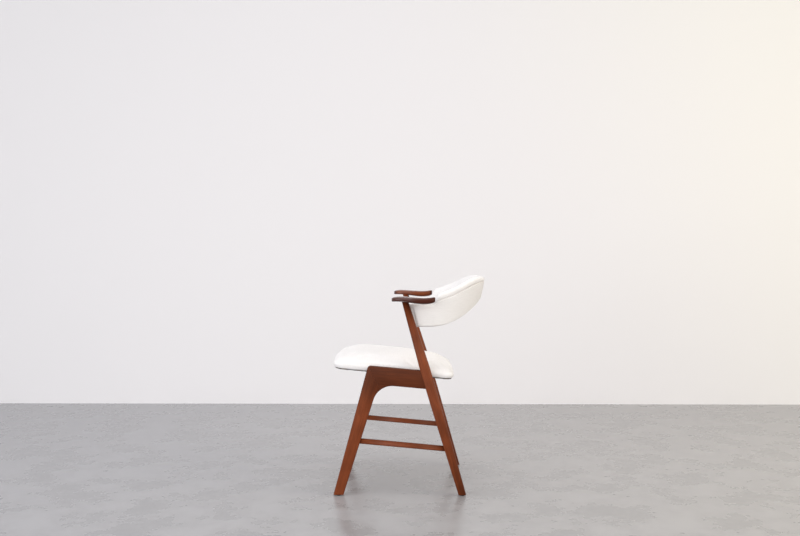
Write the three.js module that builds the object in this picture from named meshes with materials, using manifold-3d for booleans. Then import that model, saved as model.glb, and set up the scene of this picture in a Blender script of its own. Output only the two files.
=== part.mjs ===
// A dining armchair. Two flat side frames, each a front leg mitred to a rail and a rear leg that runs
// on up to the armrest, are held apart by two cross rails. The seat lies between the frames, and a
// padded back of bent plywood wraps round from one rear leg to the other.
//
// Millimetres, +Z up. X runs across the chair, the sitter faces -Y and the floor is Z = 0. In the
// drawing Y = 0 lies near the rear end of the side rails; the last lines centre the whole chair.
import * as THREE from "three";
import { LoftGeometry } from "three/addons/geometries/LoftGeometry.js";
import { mergeVertices } from "three/addons/utils/BufferGeometryUtils.js";
import Module from "manifold-3d";

const wasm = await Module();
wasm.setup();

const { cos, sin, tan, PI } = Math;
const { clamp, degToRad, lerp } = THREE.MathUtils;

// ---------------------------------------------------------------- fits
const glueGap = 0.3; // between two pieces that are glued or lie against each other
const holeFit = 0.3; // round a dowel, tenon, nail or screw in its hole
const holeEndFit = 1; // past the end of a dowel, tenon or screw

// ---------------------------------------------------------------- side frames
const frameSpacing = 470; // between the middle planes of the two side frames
const boardThickness = 26; // of the front legs and the side rails
const boardEdgeRound = 3;
const frameTilt = degToRad(5.1); // rails and stretchers fall towards the back by this much

const glideHeight = 3;
const glideRadius = 8;
const glideNailRadius = 1.5;
const glideNailLength = 14;

const frontFootY = -255; // front edge of the front foot, at the floor
const frontFootWidth = 34;
const frontLegRake = degToRad(15); // of the leg's front edge
const frontLegTaper = degToRad(2.5); // its back edge rakes this much more

const railTopHeight = 429.5; // above the floor at Y = 0
const railDepth = 60.5; // from the rail's top edge to its bottom edge
const mitreCornerRound = 12; // outer corner of leg and rail
const mitreFilletRadius = 66; // inner corner of leg and rail

const rearFootY = 184; // middle of the rear foot, at the floor
const rearLegRake = degToRad(16.5); // the leg leans forward as it rises
const rearFootWidth = 26.5; // this and the next two are front to back, measured level
const rearJointWidth = 35.5;
const rearTopWidth = 21.5;
const rearFootThickness = 24;
const rearTopThickness = 22;
const rearJointProud = 1.5; // the rear leg stands out from the rail on both faces by this much
const rearLegFrontRound = 3;
const rearLegRearRound = 0.42; // share of the width taken by the half-round back edge
const rearJointBelow = 58; // the leg keeps its joint width from this far under the rail
const rearJointAbove = 14; // to this far over it

const stretcherHeight = 170.5; // its axis above the floor at Y = 0
const stretcherDepth = 18;
const stretcherThickness = 15;
const stretcherRound = 5;
const tenonDepth = 12;
const tenonThickness = 9;
const tenonLength = 16;

const dowelRadius = 4;
const mitreDowelLength = 26;
const railDowelLength = 36;
const railDowelInLeg = 15;

// ---------------------------------------------------------------- armrests
const armHeight = 660; // underside of the armrest, where the rear leg meets it
const armLength = 145;
const armAheadOfLeg = 43; // tip of the armrest, forward of the leg's axis
const armHalfWidth = 36;
const armOutset = 17.5; // front of the armrest's middle line, outside the frame's middle plane
const armSplay = 4; // and this much farther out at the back
const armNarrowing = 0.2; // share of the width lost from front to back
const armThickness = 14.5;
const armRearThickening = 0.3; // share of the thickness gained from front to back
const armTipThinning = 0.4; // how soon it thins out at its tips: 0 keeps it thick, 1 is a wedge
const armFrontDrop = 1.5; // front tip under the place where the leg meets it
const armRearDrop = 0.5; // rear tip under that place
const armDip = 5.5; // how far the armrest sinks behind the leg
const armDipPlace = 0.66; // share of the length from front to back
const armBluntTip = 0.0006; // share of the length by which each tip is cut off square
const armEdgePower = 2.6; // of the superellipses that round its outline and its section
const armTenonRadius = 7;
const armTenonLength = 7;

// ---------------------------------------------------------------- cross rails
const crossRailThickness = 24;
const crossRailRound = 2;
const crossRailMargin = 1.2; // its underside above the side rail's bottom edge
const frontCrossRailBehindMitre = 16;
const rearCrossRailAheadOfLeg = 48.5;
const crossDowelLength = 34;
const crossDowelInRail = 15;
const crossDowelSpacing = 18;

// ---------------------------------------------------------------- seat
const seatTilt = degToRad(5.5);
const seatDrop = 26; // the seat's underside lies this far below the top edge of the rails at Y = 0
const seatSideClearance = 3; // to the inner faces of the rails
const seatFrontY = -265;
const seatRearY = 154;
const seatFrontBow = 12; // the front edge bulges by this much between its corners
const seatRearBow = 5;
const seatRearTaper = 9; // each side comes in by this much behind the rear legs
const seatTaperStart = 60; // measured along the seat
const seatTaperRound = 300;
const seatFrontRound = 36;
const seatRearRound = 24;
const seatEdgeSteps = 6; // facets along each edge and round each corner of its outline
const seatCrown = 67; // thickness at the middle of the front half
const seatRearFall = 18; // the crown is this much thinner at the back
const seatFallStart = -30;
const seatSideHeight = 13; // where the side is widest
const seatHem = 3; // the bottom edge is drawn in by this much
const seatDomePower = 2.2;
const seatSkirt = 7; // upholstery outside the edge of the board
const seatBoardThickness = 12;
const dustCoverThickness = 1.2;
const dustCoverInset = 4;

const seatScrewRadius = 2.2;
const seatScrewHeadRadius = 4.5;
const seatScrewHeadHeight = 3;
const seatScrewCounterbore = 15;
const seatScrewInBoard = 9;
const seatScrewX = 150;

// ---------------------------------------------------------------- back
const backWingBelowArm = 9.5; // top of the wing's front end under the armrest
const backWingDepth = 79; // height of the band where it is fixed to the rear legs
const backCentreDepth = 77; // height of the band at the middle of the back
const backCentreRise = 75.5; // top of the middle above the underside of the armrest
const backBottomRiseStart = 0.27; // share of the way from wing end to middle
const backTopRiseStart = 0.19;
const backTopRiseEnd = 0.82;
const backArmStep = 20; // the top edge steps up by this much just behind the armrest
const backArmStepStart = 0.265;
const backArmStepEnd = 0.335;
const backRearY = 258.5; // outer face of the middle, at its bottom edge
const backSlantHold = 0.1; // upright edges lean with the rear leg up to this share of the way
const backSlantEnd = 0.3; // and no more from this one
const backShoulderY = 160; // the wings run straight back towards this point
const backRearFullness = 0.625; // how wide the rear stretch keeps its curve
const backLean = degToRad(12); // of the middle; the wings stand upright
const backWingLap = 2; // the wing ends this far behind the front edge of the rear leg
const backPanelThickness = 3;
const backPanelStandOff = 0.8; // between the panel and the shell
const backShellThickness = 8;
const backShellEndInset = 4; // inside the upholstery at the wing ends
const backShellBottomInset = 8;
const backShellTopInset = 11;
const backWingPad = 14; // thickness of the inner pad at the wings
const backCentrePad = 27;
const backPadBulge = 5;
const backTopRound = 14;
const backBottomRound = 10;
const backEndRound = 16; // the pad thins out over this distance to the wing's end
const backEndPad = 0.4; // share of the wing pad left at the very end
const backRoll = 17; // height of the padded roll above the outer panel
const backWingRoll = 4; // and beside the armrest
const backPanelFromEnd = 31; // front seam of the outer panel, behind the wing's end

const backScrewRadius = 2.2;
const backScrewHeadRadius = 4;
const backScrewHeadHeight = 2.4;
const backScrewInLeg = 13;
const backScrewBehindAxis = 3; // of the rear leg
const backScrewSpacing = 36;

// ---------------------------------------------------------------- finishes
const teak = { color: 0x8c4a30, roughness: 0.45, metalness: 0 };
const darkTeak = { color: 0x7a3f2c, roughness: 0.4, metalness: 0 };
const beech = { color: 0xcaa57b, roughness: 0.65, metalness: 0 };
const plywood = { color: 0xc9a677, roughness: 0.7, metalness: 0 };
const wool = { color: 0xf2ede6, roughness: 0.95, metalness: 0 };
const dustCloth = { color: 0x2b2b2c, roughness: 0.95, metalness: 0 };
const nylon = { color: 0x3b332e, roughness: 0.5, metalness: 0 };
const zincSteel = { color: 0xb9bbbd, roughness: 0.35, metalness: 1 };

// ---------------------------------------------------------------- sizes that follow from these
const frameX = frameSpacing / 2;
const railInnerX = frameX - boardThickness / 2;
const rearJointThickness = boardThickness + 2 * rearJointProud;
const fall = tan(frameTilt);
const railBottomHeight = railTopHeight - railDepth / cos(frameTilt);
const frontFootBackY = frontFootY + frontFootWidth;
const seatHeight = railTopHeight - seatDrop;
const crossRailDepth = (seatHeight - railBottomHeight - crossRailMargin) * cos(seatTilt);

/** Y of the rear leg's axis at a height. */
const rearAxisY = (z) => rearFootY - z * tan(rearLegRake);

/** Y of the rear leg's front face at a height. */
const rearFrontY = (z) => rearAxisY(z) - rearLegSize(z).width / 2;

/** The point of the side view where a raked edge meets a line that falls with the rails. */
function meet(footY, rake, heightAtZero) {
  const y = (footY + heightAtZero * tan(rake)) / (1 + fall * tan(rake));
  return new THREE.Vector2(y, heightAtZero - fall * y);
}

const outerCorner = meet(frontFootY, frontLegRake, railTopHeight);
const innerCorner = meet(frontFootBackY, frontLegRake + frontLegTaper, railBottomHeight);
const rearFaceFootY = rearFootY - rearJointWidth / 2;
const rearFaceTop = meet(rearFaceFootY, -rearLegRake, railTopHeight);
const rearFaceBottom = meet(rearFaceFootY, -rearLegRake, railBottomHeight);

// Measured along the seat, which lies nearly level.
const frontCrossRailY = innerCorner.x + frontCrossRailBehindMitre;
const rearCrossRailY = rearFaceBottom.x - rearCrossRailAheadOfLeg;

const rearJointLow = rearFaceBottom.y - rearJointBelow;
const rearJointHigh = rearFaceTop.y + rearJointAbove;
const rearLegTop = armHeight + armThickness / 2;

/** Width and thickness of the rear leg at a height: a spindle that is thickest at the rail. */
function rearLegSize(z) {
  const [low, high] = [rearJointLow, rearJointHigh];
  const blend = (foot, joint, top) => {
    if (z < low) return lerp(foot, joint, (z - glideHeight) / (low - glideHeight));
    return lerp(joint, top, clamp((z - high) / (rearLegTop - high), 0, 1));
  };
  return {
    width: blend(rearFootWidth, rearJointWidth, rearTopWidth),
    thickness: blend(rearFootThickness, rearJointThickness, rearTopThickness),
  };
}

// ---------------------------------------------------------------- solids
/** A closed three.js geometry as a solid that can be cut and joined. */
function solid(geometry) {
  const bare = new THREE.BufferGeometry();
  bare.setAttribute("position", geometry.getAttribute("position"));
  bare.setIndex(geometry.index);
  const welded = mergeVertices(bare, 1e-4);
  const mesh = new wasm.Mesh({
    numProp: 3,
    vertProperties: welded.getAttribute("position").array,
    triVerts: new Uint32Array(welded.index.array),
  });
  return new wasm.Manifold(mesh);
}

/** The three.js geometry of a solid. */
function geometryOf(shape) {
  const { vertProperties, triVerts } = shape.getMesh();
  const geometry = new THREE.BufferGeometry();
  geometry.setAttribute("position", new THREE.BufferAttribute(vertProperties, 3));
  geometry.setIndex(new THREE.BufferAttribute(triVerts, 1));
  geometry.computeVertexNormals();
  return geometry;
}

/** The named mesh of a sub-part. */
function part(name, shape, finish) {
  const mesh = new THREE.Mesh(geometryOf(shape), new THREE.MeshStandardMaterial(finish));
  mesh.name = name;
  return mesh;
}

const cutBy = (shape, tools) => tools.reduce((left, tool) => left.subtract(tool), shape);

/** A closed outline through corners [x, y, radius], each rounded by its radius if it has one. */
function roundedOutline(corners) {
  const shape = new THREE.Shape();
  const points = corners.map(([x, y]) => new THREE.Vector2(x, y));
  points.forEach((corner, i) => {
    const radius = corners[i][2] ?? 0;
    const back = points.at(i - 1).clone().sub(corner).normalize();
    const ahead = points[(i + 1) % points.length].clone().sub(corner).normalize();
    const half = Math.acos(clamp(back.dot(ahead), -1, 1)) / 2;
    const start = corner.clone().addScaledVector(back, radius / tan(half));
    if (i === 0) shape.moveTo(start.x, start.y);
    else shape.lineTo(start.x, start.y);
    if (radius === 0) return;
    const end = corner.clone().addScaledVector(ahead, radius / tan(half));
    const toCentre = back.clone().add(ahead).normalize();
    const centre = corner.clone().addScaledVector(toCentre, radius / sin(half));
    const from = start.sub(centre).angle();
    const to = end.sub(centre).angle();
    shape.absarc(centre.x, centre.y, radius, from, to, back.cross(ahead) > 0);
  });
  shape.closePath();
  return shape;
}

/** A rectangle with rounded corners, centred on the origin. */
function roundedRectangle(width, height, radius) {
  const [x, y] = [width / 2, height / 2];
  const corners = [[-x, -y], [x, -y], [x, y], [-x, y]];
  return roundedOutline(corners.map((corner) => [...corner, radius]));
}

/** Extrudes a shape evenly to both sides of its plane, with its long edges eased by a radius. */
function plate(shape, thickness, round = 0, curveSegments = 4) {
  const geometry = new THREE.ExtrudeGeometry(shape, {
    depth: thickness - 2 * round,
    bevelEnabled: round > 0,
    bevelThickness: round,
    bevelSize: round,
    bevelOffset: -round,
    bevelSegments: 2,
    curveSegments,
  });
  return geometry.translate(0, 0, round - thickness / 2);
}

// A drawing of the side view has Y to the right and Z up; its thickness runs along X.
const fromSideView = new THREE.Matrix4().makeBasis(
  new THREE.Vector3(0, 1, 0),
  new THREE.Vector3(0, 0, 1),
  new THREE.Vector3(1, 0, 0),
);

/** A board drawn in the side view as corners [y, z, radius], in the plane of the side frame. */
function sideBoard(corners, thickness, round = 0) {
  const geometry = plate(roundedOutline(corners), thickness, round, 10);
  return solid(geometry.applyMatrix4(fromSideView).translate(frameX, 0, 0));
}

/** A pin, or the hole for it, that points along a direction and is centred on a point. */
function pin(radius, length, centre, direction, sides = 12) {
  const geometry = new THREE.CylinderGeometry(radius, radius, length, sides);
  const turn = new THREE.Quaternion().setFromUnitVectors(new THREE.Vector3(0, 1, 0), direction);
  return solid(geometry.applyQuaternion(turn).translate(...centre));
}

/** A dowel and the hole that it needs on both sides of a joint, as [dowel, hole]. */
function dowel(length, centre, direction) {
  const chamfer = 1;
  const profile = [
    [0, -length / 2],
    [dowelRadius - chamfer, -length / 2],
    [dowelRadius, -length / 2 + chamfer],
    [dowelRadius, length / 2 - chamfer],
    [dowelRadius - chamfer, length / 2],
    [0, length / 2],
  ].map(([r, h]) => new THREE.Vector2(r, h));
  const turn = new THREE.Quaternion().setFromUnitVectors(new THREE.Vector3(0, 1, 0), direction);
  const lathe = new THREE.LatheGeometry(profile, 10).applyQuaternion(turn).translate(...centre);
  const hole = pin(dowelRadius + holeFit, length + 2 * holeEndFit, centre, direction);
  return [solid(lathe), hole];
}

/** A screw with its tip at the far end of its shank, as [screw, hole]; the head is at the start. */
function screw({ start, direction, shank, radius, headRadius, headHeight, counterbore }) {
  const turn = new THREE.Quaternion().setFromUnitVectors(new THREE.Vector3(0, 1, 0), direction);
  const lathe = (points) => {
    const profile = points.map(([r, h]) => new THREE.Vector2(r, h));
    const geometry = new THREE.LatheGeometry(profile, 12);
    return solid(geometry.applyQuaternion(turn).translate(...start));
  };
  const body = lathe([
    [0, 0],
    [headRadius * 0.8, 0],
    [headRadius, headHeight * 0.4],
    [headRadius, headHeight],
    [radius, headHeight],
    [radius, headHeight + shank - 2 * radius],
    [0, headHeight + shank],
  ]);
  const holeRadius = radius + holeFit;
  const boreRadius = headRadius + holeFit;
  const hole = lathe([
    [0, -counterbore],
    [boreRadius, -counterbore],
    [boreRadius, headHeight + glueGap],
    [holeRadius, headHeight + glueGap],
    [holeRadius, headHeight + shank + holeEndFit],
    [0, headHeight + shank + holeEndFit],
  ]);
  return [body, hole];
}

// ---------------------------------------------------------------- side frame
const farAway = 2000; // larger than the chair, for the tools that trim it

/** Trims to one side of a line of the side view: the side that lies to its left. */
function leftOf(from, to, setback) {
  const along = to.clone().sub(from).normalize();
  const left = new THREE.Vector2(-along.y, along.x);
  const a = from.clone().addScaledVector(along, -farAway).addScaledVector(left, setback);
  const b = to.clone().addScaledVector(along, farAway).addScaledVector(left, setback);
  const c = b.clone().addScaledVector(left, farAway);
  const d = a.clone().addScaledVector(left, farAway);
  return sideBoard([a.toArray(), b.toArray(), c.toArray(), d.toArray()], farAway);
}

/** Front leg and side rail, before the mitre parts them; the rail runs on into the rear leg. */
function legAndRailBlank() {
  const footTopY = (rake) => glideHeight * tan(rake);
  const runOn = rearJointWidth;
  return sideBoard(
    [
      [frontFootY + footTopY(frontLegRake), glideHeight],
      [frontFootBackY + footTopY(frontLegRake + frontLegTaper), glideHeight],
      [...innerCorner.toArray(), mitreFilletRadius],
      [rearFaceBottom.x + runOn, rearFaceBottom.y - runOn * fall],
      [rearFaceTop.x + runOn, rearFaceTop.y - runOn * fall],
      [...outerCorner.toArray(), mitreCornerRound],
    ],
    boardThickness,
    boardEdgeRound,
  );
}

/** Rear leg's level section at a height: square front edge with small rounds, half-round back. */
function rearLegSection(z) {
  const { width, thickness } = rearLegSize(z);
  const [front, side] = [-width / 2, thickness / 2];
  const round = rearLegFrontRound;
  const rearReach = width * rearLegRearRound;
  const arc = (centreX, centreY, rx, ry, from, to, steps) =>
    Array.from({ length: steps + 1 }, (_, i) => {
      const angle = lerp(from, to, i / steps);
      return [centreX + rx * cos(angle), centreY + ry * sin(angle)];
    });
  const points = [
    ...arc(side - round, front + round, round, round, -PI / 2, 0, 3),
    ...arc(0, width / 2 - rearReach, side, rearReach, 0, PI, 12),
    ...arc(round - side, front + round, round, round, PI, 1.5 * PI, 3),
  ];
  const axisY = rearAxisY(z);
  return points.map(([x, y]) => new THREE.Vector3(frameX + x, axisY + y, z));
}

/** The rear leg from the floor to inside the armrest. */
function rearLegBlank() {
  const sections = [glideHeight, rearJointLow, rearJointHigh, rearLegTop].map(rearLegSection);
  return solid(new LoftGeometry(sections, { capStart: true, capEnd: true }));
}

/** A bar along the stretcher's axis, trimmed to run past both legs' faces by a distance. */
function stretcherBar(shape, reach) {
  const bar = plate(shape, farAway).rotateX(PI / 2 - frameTilt);
  bar.translate(frameX, 0, stretcherHeight);
  const bay = sideBoard(
    [
      [frontFootBackY - reach, 0],
      [rearFrontY(glideHeight) + reach, glideHeight],
      [rearFrontY(rearJointLow) + reach, rearJointLow],
      [innerCorner.x - reach, innerCorner.y],
    ],
    farAway,
  );
  return solid(bar).intersect(bay);
}

/** The armrest, lowered by a distance: a paddle lofted from front to back on a wavy line. */
function armrestBlank(lowered) {
  const legY = rearAxisY(armHeight);
  const frontY = legY - armAheadOfLeg;
  const middleZ = armHeight + armThickness / 2 - lowered;
  const wave = new THREE.SplineCurve([
    new THREE.Vector2(0, middleZ - armFrontDrop),
    new THREE.Vector2(armAheadOfLeg / armLength, middleZ),
    new THREE.Vector2(armDipPlace, middleZ - armDip),
    new THREE.Vector2(1, middleZ - armRearDrop),
  ]);
  const superRound = (value) => Math.sign(value) * Math.abs(value) ** (2 / armEdgePower);
  const stations = 20;
  const aroundSteps = 18;
  const sections = Array.from({ length: stations + 1 }, (_, i) => {
    const t = lerp(armBluntTip, 1 - armBluntTip, (1 - cos((PI * i) / stations)) / 2);
    const roundness = (1 - Math.abs(2 * t - 1) ** armEdgePower) ** (1 / armEdgePower);
    const halfWidth = armHalfWidth * roundness * (1 - armNarrowing * t);
    const thickness = armThickness * roundness ** armTipThinning * (1 + armRearThickening * t);
    const x = frameX + armOutset + armSplay * t;
    const { x: along, y: z } = wave.getPoint(t);
    return Array.from({ length: aroundSteps }, (_, j) => {
      const angle = (-2 * PI * j) / aroundSteps;
      return new THREE.Vector3(
        x + halfWidth * superRound(cos(angle)),
        frontY + armLength * along,
        z + (thickness / 2) * superRound(sin(angle)),
      );
    });
  });
  return solid(new LoftGeometry(sections, { capStart: true, capEnd: true }));
}

/** A foot glide: a disc under the leg with a nail that goes up into it, as [glide, hole]. */
function glide(y) {
  const lathe = (points) => {
    const profile = points.map(([r, z]) => new THREE.Vector2(r, z));
    return solid(new THREE.LatheGeometry(profile, 16).rotateX(PI / 2).translate(frameX, y, 0));
  };
  const nailTop = glideHeight + glideNailLength;
  const body = lathe([
    [0, 0],
    [glideRadius - 1, 0],
    [glideRadius, 1],
    [glideRadius, glideHeight],
    [glideNailRadius, glideHeight],
    [glideNailRadius, nailTop - 2],
    [0, nailTop],
  ]);
  const hole = lathe([
    [0, glideHeight - 1],
    [glideNailRadius + holeFit, glideHeight - 1],
    [glideNailRadius + holeFit, nailTop + holeEndFit],
    [0, nailTop + holeEndFit],
  ]);
  return [body, hole];
}

/**
 * All pieces of the side frame at +X, with the holes that the cross rails and the back need in it.
 * @param {Array} crossDowels - [dowel, hole] pairs that join the cross rails to this frame.
 * @param {Array} backScrews - [screw, hole] pairs that hold the back's wing on this frame.
 */
function sideFrame(crossDowels, backScrews) {
  const legSide = leftOf(innerCorner, outerCorner, glueGap / 2);
  const railSide = leftOf(outerCorner, innerCorner, glueGap / 2);
  const aheadOfRearLeg = leftOf(rearFaceBottom, rearFaceTop, glueGap);

  const mitre = innerCorner.clone().sub(outerCorner);
  const acrossMitre = new THREE.Vector3(0, -mitre.y, mitre.x).normalize();
  const mitreDowels = [1 / 3, 2 / 3].map((share) => {
    const middle = outerCorner.clone().addScaledVector(mitre, share);
    return dowel(mitreDowelLength, [frameX, middle.x, middle.y], acrossMitre);
  });

  const face = rearFaceTop.clone().sub(rearFaceBottom);
  const intoLeg = new THREE.Vector3(0, face.y, -face.x).normalize();
  const railDowels = [1 / 4, 3 / 4].map((share) => {
    const middle = rearFaceBottom.clone().addScaledVector(face, share);
    const shift = railDowelInLeg - railDowelLength / 2;
    const centre = [frameX, middle.x + intoLeg.y * shift, middle.y + intoLeg.z * shift];
    return dowel(railDowelLength, centre, intoLeg);
  });

  const stretcherSection = roundedRectangle(stretcherThickness, stretcherDepth, stretcherRound);
  const tenonSection = roundedRectangle(tenonThickness, tenonDepth, 0);
  const mortiseWidth = tenonThickness + 2 * holeFit;
  const mortiseSection = roundedRectangle(mortiseWidth, tenonDepth + 2 * holeFit, 0);
  const mortises = stretcherBar(mortiseSection, tenonLength + holeEndFit);
  const stretcher = stretcherBar(stretcherSection, -glueGap).add(
    stretcherBar(tenonSection, tenonLength),
  );

  const armY = rearAxisY(armHeight);
  const armTenonCentre = [frameX, armY, armHeight];
  const up = new THREE.Vector3(0, 0, 1);
  const armTenon = pin(armTenonRadius, 2 * armTenonLength, armTenonCentre, up, 20);
  const armHoleLength = 2 * (armTenonLength + holeEndFit);
  const armHole = pin(armTenonRadius + holeFit, armHoleLength, armTenonCentre, up, 20);
  const armrest = armrestBlank(0).subtract(armHole);

  const footMiddle = (frontY, width, rake) => frontY + width / 2 + glideHeight * tan(rake);
  const frontGlide = glide(footMiddle(frontFootY, frontFootWidth, frontLegRake));
  const rearGlide = glide(rearAxisY(glideHeight));

  const holes = (pairs) => pairs.map(([, hole]) => hole);
  const board = cutBy(legAndRailBlank(), holes([...mitreDowels, ...railDowels, ...crossDowels]));
  const frontLeg = cutBy(board.intersect(legSide), [mortises, frontGlide[1]]);
  const rearLeg = cutBy(rearLegBlank().subtract(armrestBlank(glueGap)).add(armTenon), [
    mortises,
    rearGlide[1],
    ...holes([...railDowels, ...backScrews]),
  ]);

  return (side) => {
    const frame = new THREE.Group();
    frame.add(
      part(`${side}_front_leg`, frontLeg, teak),
      part(`${side}_side_rail`, board.intersect(railSide).intersect(aheadOfRearLeg), teak),
      part(`${side}_rear_leg`, rearLeg, teak),
      part(`${side}_stretcher`, stretcher, teak),
      part(`${side}_armrest`, armrest, darkTeak),
      part(`${side}_front_glide`, frontGlide[0], nylon),
      part(`${side}_rear_glide`, rearGlide[0], nylon),
    );
    const fasteners = [
      ["mitre_dowel", mitreDowels, beech],
      ["rail_dowel", railDowels, beech],
      ["cross_rail_dowel", crossDowels, beech],
      ["back_screw", backScrews, zincSteel],
    ];
    for (const [name, pairs, finish] of fasteners)
      pairs.forEach(([shape], i) => frame.add(part(`${side}_${name}_${i + 1}`, shape, finish)));
    return frame;
  };
}

// ---------------------------------------------------------------- seat
// The seat and the cross rails are drawn level, with the seat's underside at Z = 0, and then tilted.
const seatPose = new THREE.Matrix4().makeRotationX(-seatTilt).setPosition(0, 0, seatHeight);

const seatHalfWidth = railInnerX - seatSideClearance;

/** The seat's outline seen from above, drawn in by an inset: front and rear edge are bowed. */
function seatOutline(inset) {
  const side = seatHalfWidth - inset;
  const rearSide = side - seatRearTaper;
  const [front, rear] = [seatFrontY + inset, seatRearY - inset];
  const straight = roundedOutline([
    [side, front, seatFrontRound - inset],
    [side, seatTaperStart, seatTaperRound],
    [rearSide, rear, seatRearRound - inset],
    [-rearSide, rear, seatRearRound - inset],
    [-side, seatTaperStart, seatTaperRound],
    [-side, front, seatFrontRound - inset],
  ]);
  const points = straight.curves
    .filter((curve) => curve.getLength() > glueGap)
    .flatMap((curve) => curve.getPoints(seatEdgeSteps).slice(1));
  for (const point of points) {
    const toEnd = point.y < 0 ? point.y / front : point.y / rear;
    const bow = point.y < 0 ? seatFrontBow : -seatRearBow;
    point.y += bow * toEnd * (point.x / side) ** 2;
  }
  return points;
}

/** A flat sheet with the seat's outline drawn in by an inset, from one height to another. */
function seatSheet(inset, bottom, top) {
  const outline = new THREE.Shape(seatOutline(inset));
  const geometry = new THREE.ExtrudeGeometry(outline, { depth: top - bottom, bevelEnabled: false });
  return solid(geometry.translate(0, 0, bottom));
}

/** The upholstered seat, domed above its widest line and drawn in below it. */
function seatCushionBlank() {
  const middleY = (seatFrontY + seatRearY) / 2;
  const crown = (y) => {
    const back = clamp((y - seatFallStart) / (seatRearY - seatFallStart), 0, 1);
    return seatCrown - seatRearFall * back;
  };
  const level = (points, z) => points.map(({ x, y }) => new THREE.Vector3(x, y, z));
  const outer = seatOutline(0);
  const domeRing = (share) => {
    const rise = (1 - share ** seatDomePower) ** (1 / seatDomePower);
    return outer.map(({ x, y: edgeY }) => {
      const y = lerp(middleY, edgeY, share);
      return new THREE.Vector3(x * share, y, lerp(seatSideHeight, crown(y), rise));
    });
  };
  const shares = [0.994, 0.975, 0.935, 0.87, 0.78, 0.65, 0.45, 0.15];
  const sections = [
    level(seatOutline(seatHem), 0),
    level(seatOutline(seatHem / 4), seatSideHeight / 3),
    level(outer, seatSideHeight),
    ...shares.map(domeRing),
  ];
  return solid(new LoftGeometry(sections, { capStart: true, capEnd: true }));
}

const crossRailTop = -glueGap;
const crossRailBottom = crossRailTop - crossRailDepth;

/** Places of the dowels at the +X end of the cross rails, in the seat's own frame. */
const crossDowelPlaces = [frontCrossRailY, rearCrossRailY].flatMap((y) =>
  [-1, 1].map((end) => {
    const z = (crossRailTop + crossRailBottom + end * crossDowelSpacing) / 2;
    return new THREE.Vector3(railInnerX + crossDowelInRail - crossDowelLength / 2, y, z);
  }),
);

/** The cross rails, the seat that lies on them and the screws that hold it, as one tilted group. */
function seatGroup() {
  const boardBottom = dustCoverThickness + glueGap;
  const boardTop = boardBottom + seatBoardThickness;
  const screwStart = crossRailBottom + seatScrewCounterbore;
  const alongX = new THREE.Vector3(1, 0, 0);
  const dowelHoles = crossDowelPlaces.flatMap(({ x, y, z }) =>
    [x, -x].map((place) => dowel(crossDowelLength, [place, y, z], alongX)[1]),
  );
  const screws = [frontCrossRailY, rearCrossRailY].flatMap((y) =>
    [seatScrewX, -seatScrewX].map((x) =>
      screw({
        start: [x, y, screwStart],
        direction: new THREE.Vector3(0, 0, 1),
        shank: boardBottom + seatScrewInBoard - screwStart - seatScrewHeadHeight,
        radius: seatScrewRadius,
        headRadius: seatScrewHeadRadius,
        headHeight: seatScrewHeadHeight,
        counterbore: seatScrewCounterbore + holeEndFit,
      }),
    ),
  );
  const screwHoles = screws.map(([, hole]) => hole);

  const crossRail = (y) => {
    const section = roundedRectangle(crossRailDepth, crossRailThickness, crossRailRound);
    const bar = plate(section, 2 * (railInnerX - glueGap)).rotateY(PI / 2);
    const shape = solid(bar.translate(0, y, (crossRailTop + crossRailBottom) / 2));
    return cutBy(shape, [...dowelHoles, ...screwHoles]);
  };
  const board = seatSheet(seatSkirt, boardBottom, boardTop);
  const boardRoom = seatSheet(seatSkirt - glueGap, -holeEndFit, boardTop + glueGap);
  const dustCover = seatSheet(seatSkirt + dustCoverInset, 0, dustCoverThickness);

  const group = new THREE.Group();
  group.add(
    part("front_cross_rail", crossRail(frontCrossRailY), teak),
    part("rear_cross_rail", crossRail(rearCrossRailY), teak),
    part("seat_board", cutBy(board, screwHoles), plywood),
    part("seat_cushion", seatCushionBlank().subtract(boardRoom), wool),
    part("seat_dust_cover", cutBy(dustCover, screwHoles), dustCloth),
    ...screws.map(([shape], i) => part(`seat_screw_${i + 1}`, shape, zincSteel)),
  );
  group.applyMatrix4(seatPose);
  return group;
}

// ---------------------------------------------------------------- back
const wingTop = armHeight - backWingBelowArm;
const wingBottom = wingTop - backWingDepth;
const centreTop = armHeight + backCentreRise;
const centreBottom = centreTop - backCentreDepth;
const wingX = frameX - rearLegSize(wingBottom).thickness / 2 - glueGap;
const wingEndY = (z) => rearFrontY(z) + backWingLap;
const wingStartY = wingEndY(wingTop) - backShellTopInset;
const wingStraightY = rearAxisY(wingBottom) + rearLegSize(wingBottom).width / 2;

// The outer face of the back seen from above, from the wing at +X round to the middle.
const halfBack = new THREE.CurvePath();
halfBack.add(
  new THREE.LineCurve(
    new THREE.Vector2(wingX, wingStartY),
    new THREE.Vector2(wingX, wingStraightY),
  ),
);
halfBack.add(
  new THREE.CubicBezierCurve(
    new THREE.Vector2(wingX, wingStraightY),
    new THREE.Vector2(wingX, backShoulderY),
    new THREE.Vector2(wingX * backRearFullness, backRearY),
    new THREE.Vector2(0, backRearY),
  ),
);
const halfBackLength = halfBack.getLength();
const easeInOut = (t) => sin((PI / 2) * clamp(t, 0, 1)) ** 2;
const easeBetween = (share, start, end) => easeInOut((share - start) / (end - start));
const pastArmrest = (share) => easeBetween(share, backArmStepStart, backArmStepEnd);

/** Bottom and top edges of the back at a share of the way from the wing's end to the middle. */
function backEdges(share) {
  const low = easeBetween(share, backBottomRiseStart, 1);
  const high = easeBetween(share, backTopRiseStart, backTopRiseEnd);
  const top = lerp(wingTop, centreTop - backArmStep, high) + backArmStep * pastArmrest(share);
  return [lerp(wingBottom, centreBottom, low), top];
}

/** Top of the outer panel, under the roll, which is thin beside the armrest. */
function backPanelTop(share) {
  return backEdges(share)[1] - lerp(backWingRoll, backRoll, pastArmrest(share));
}

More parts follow.
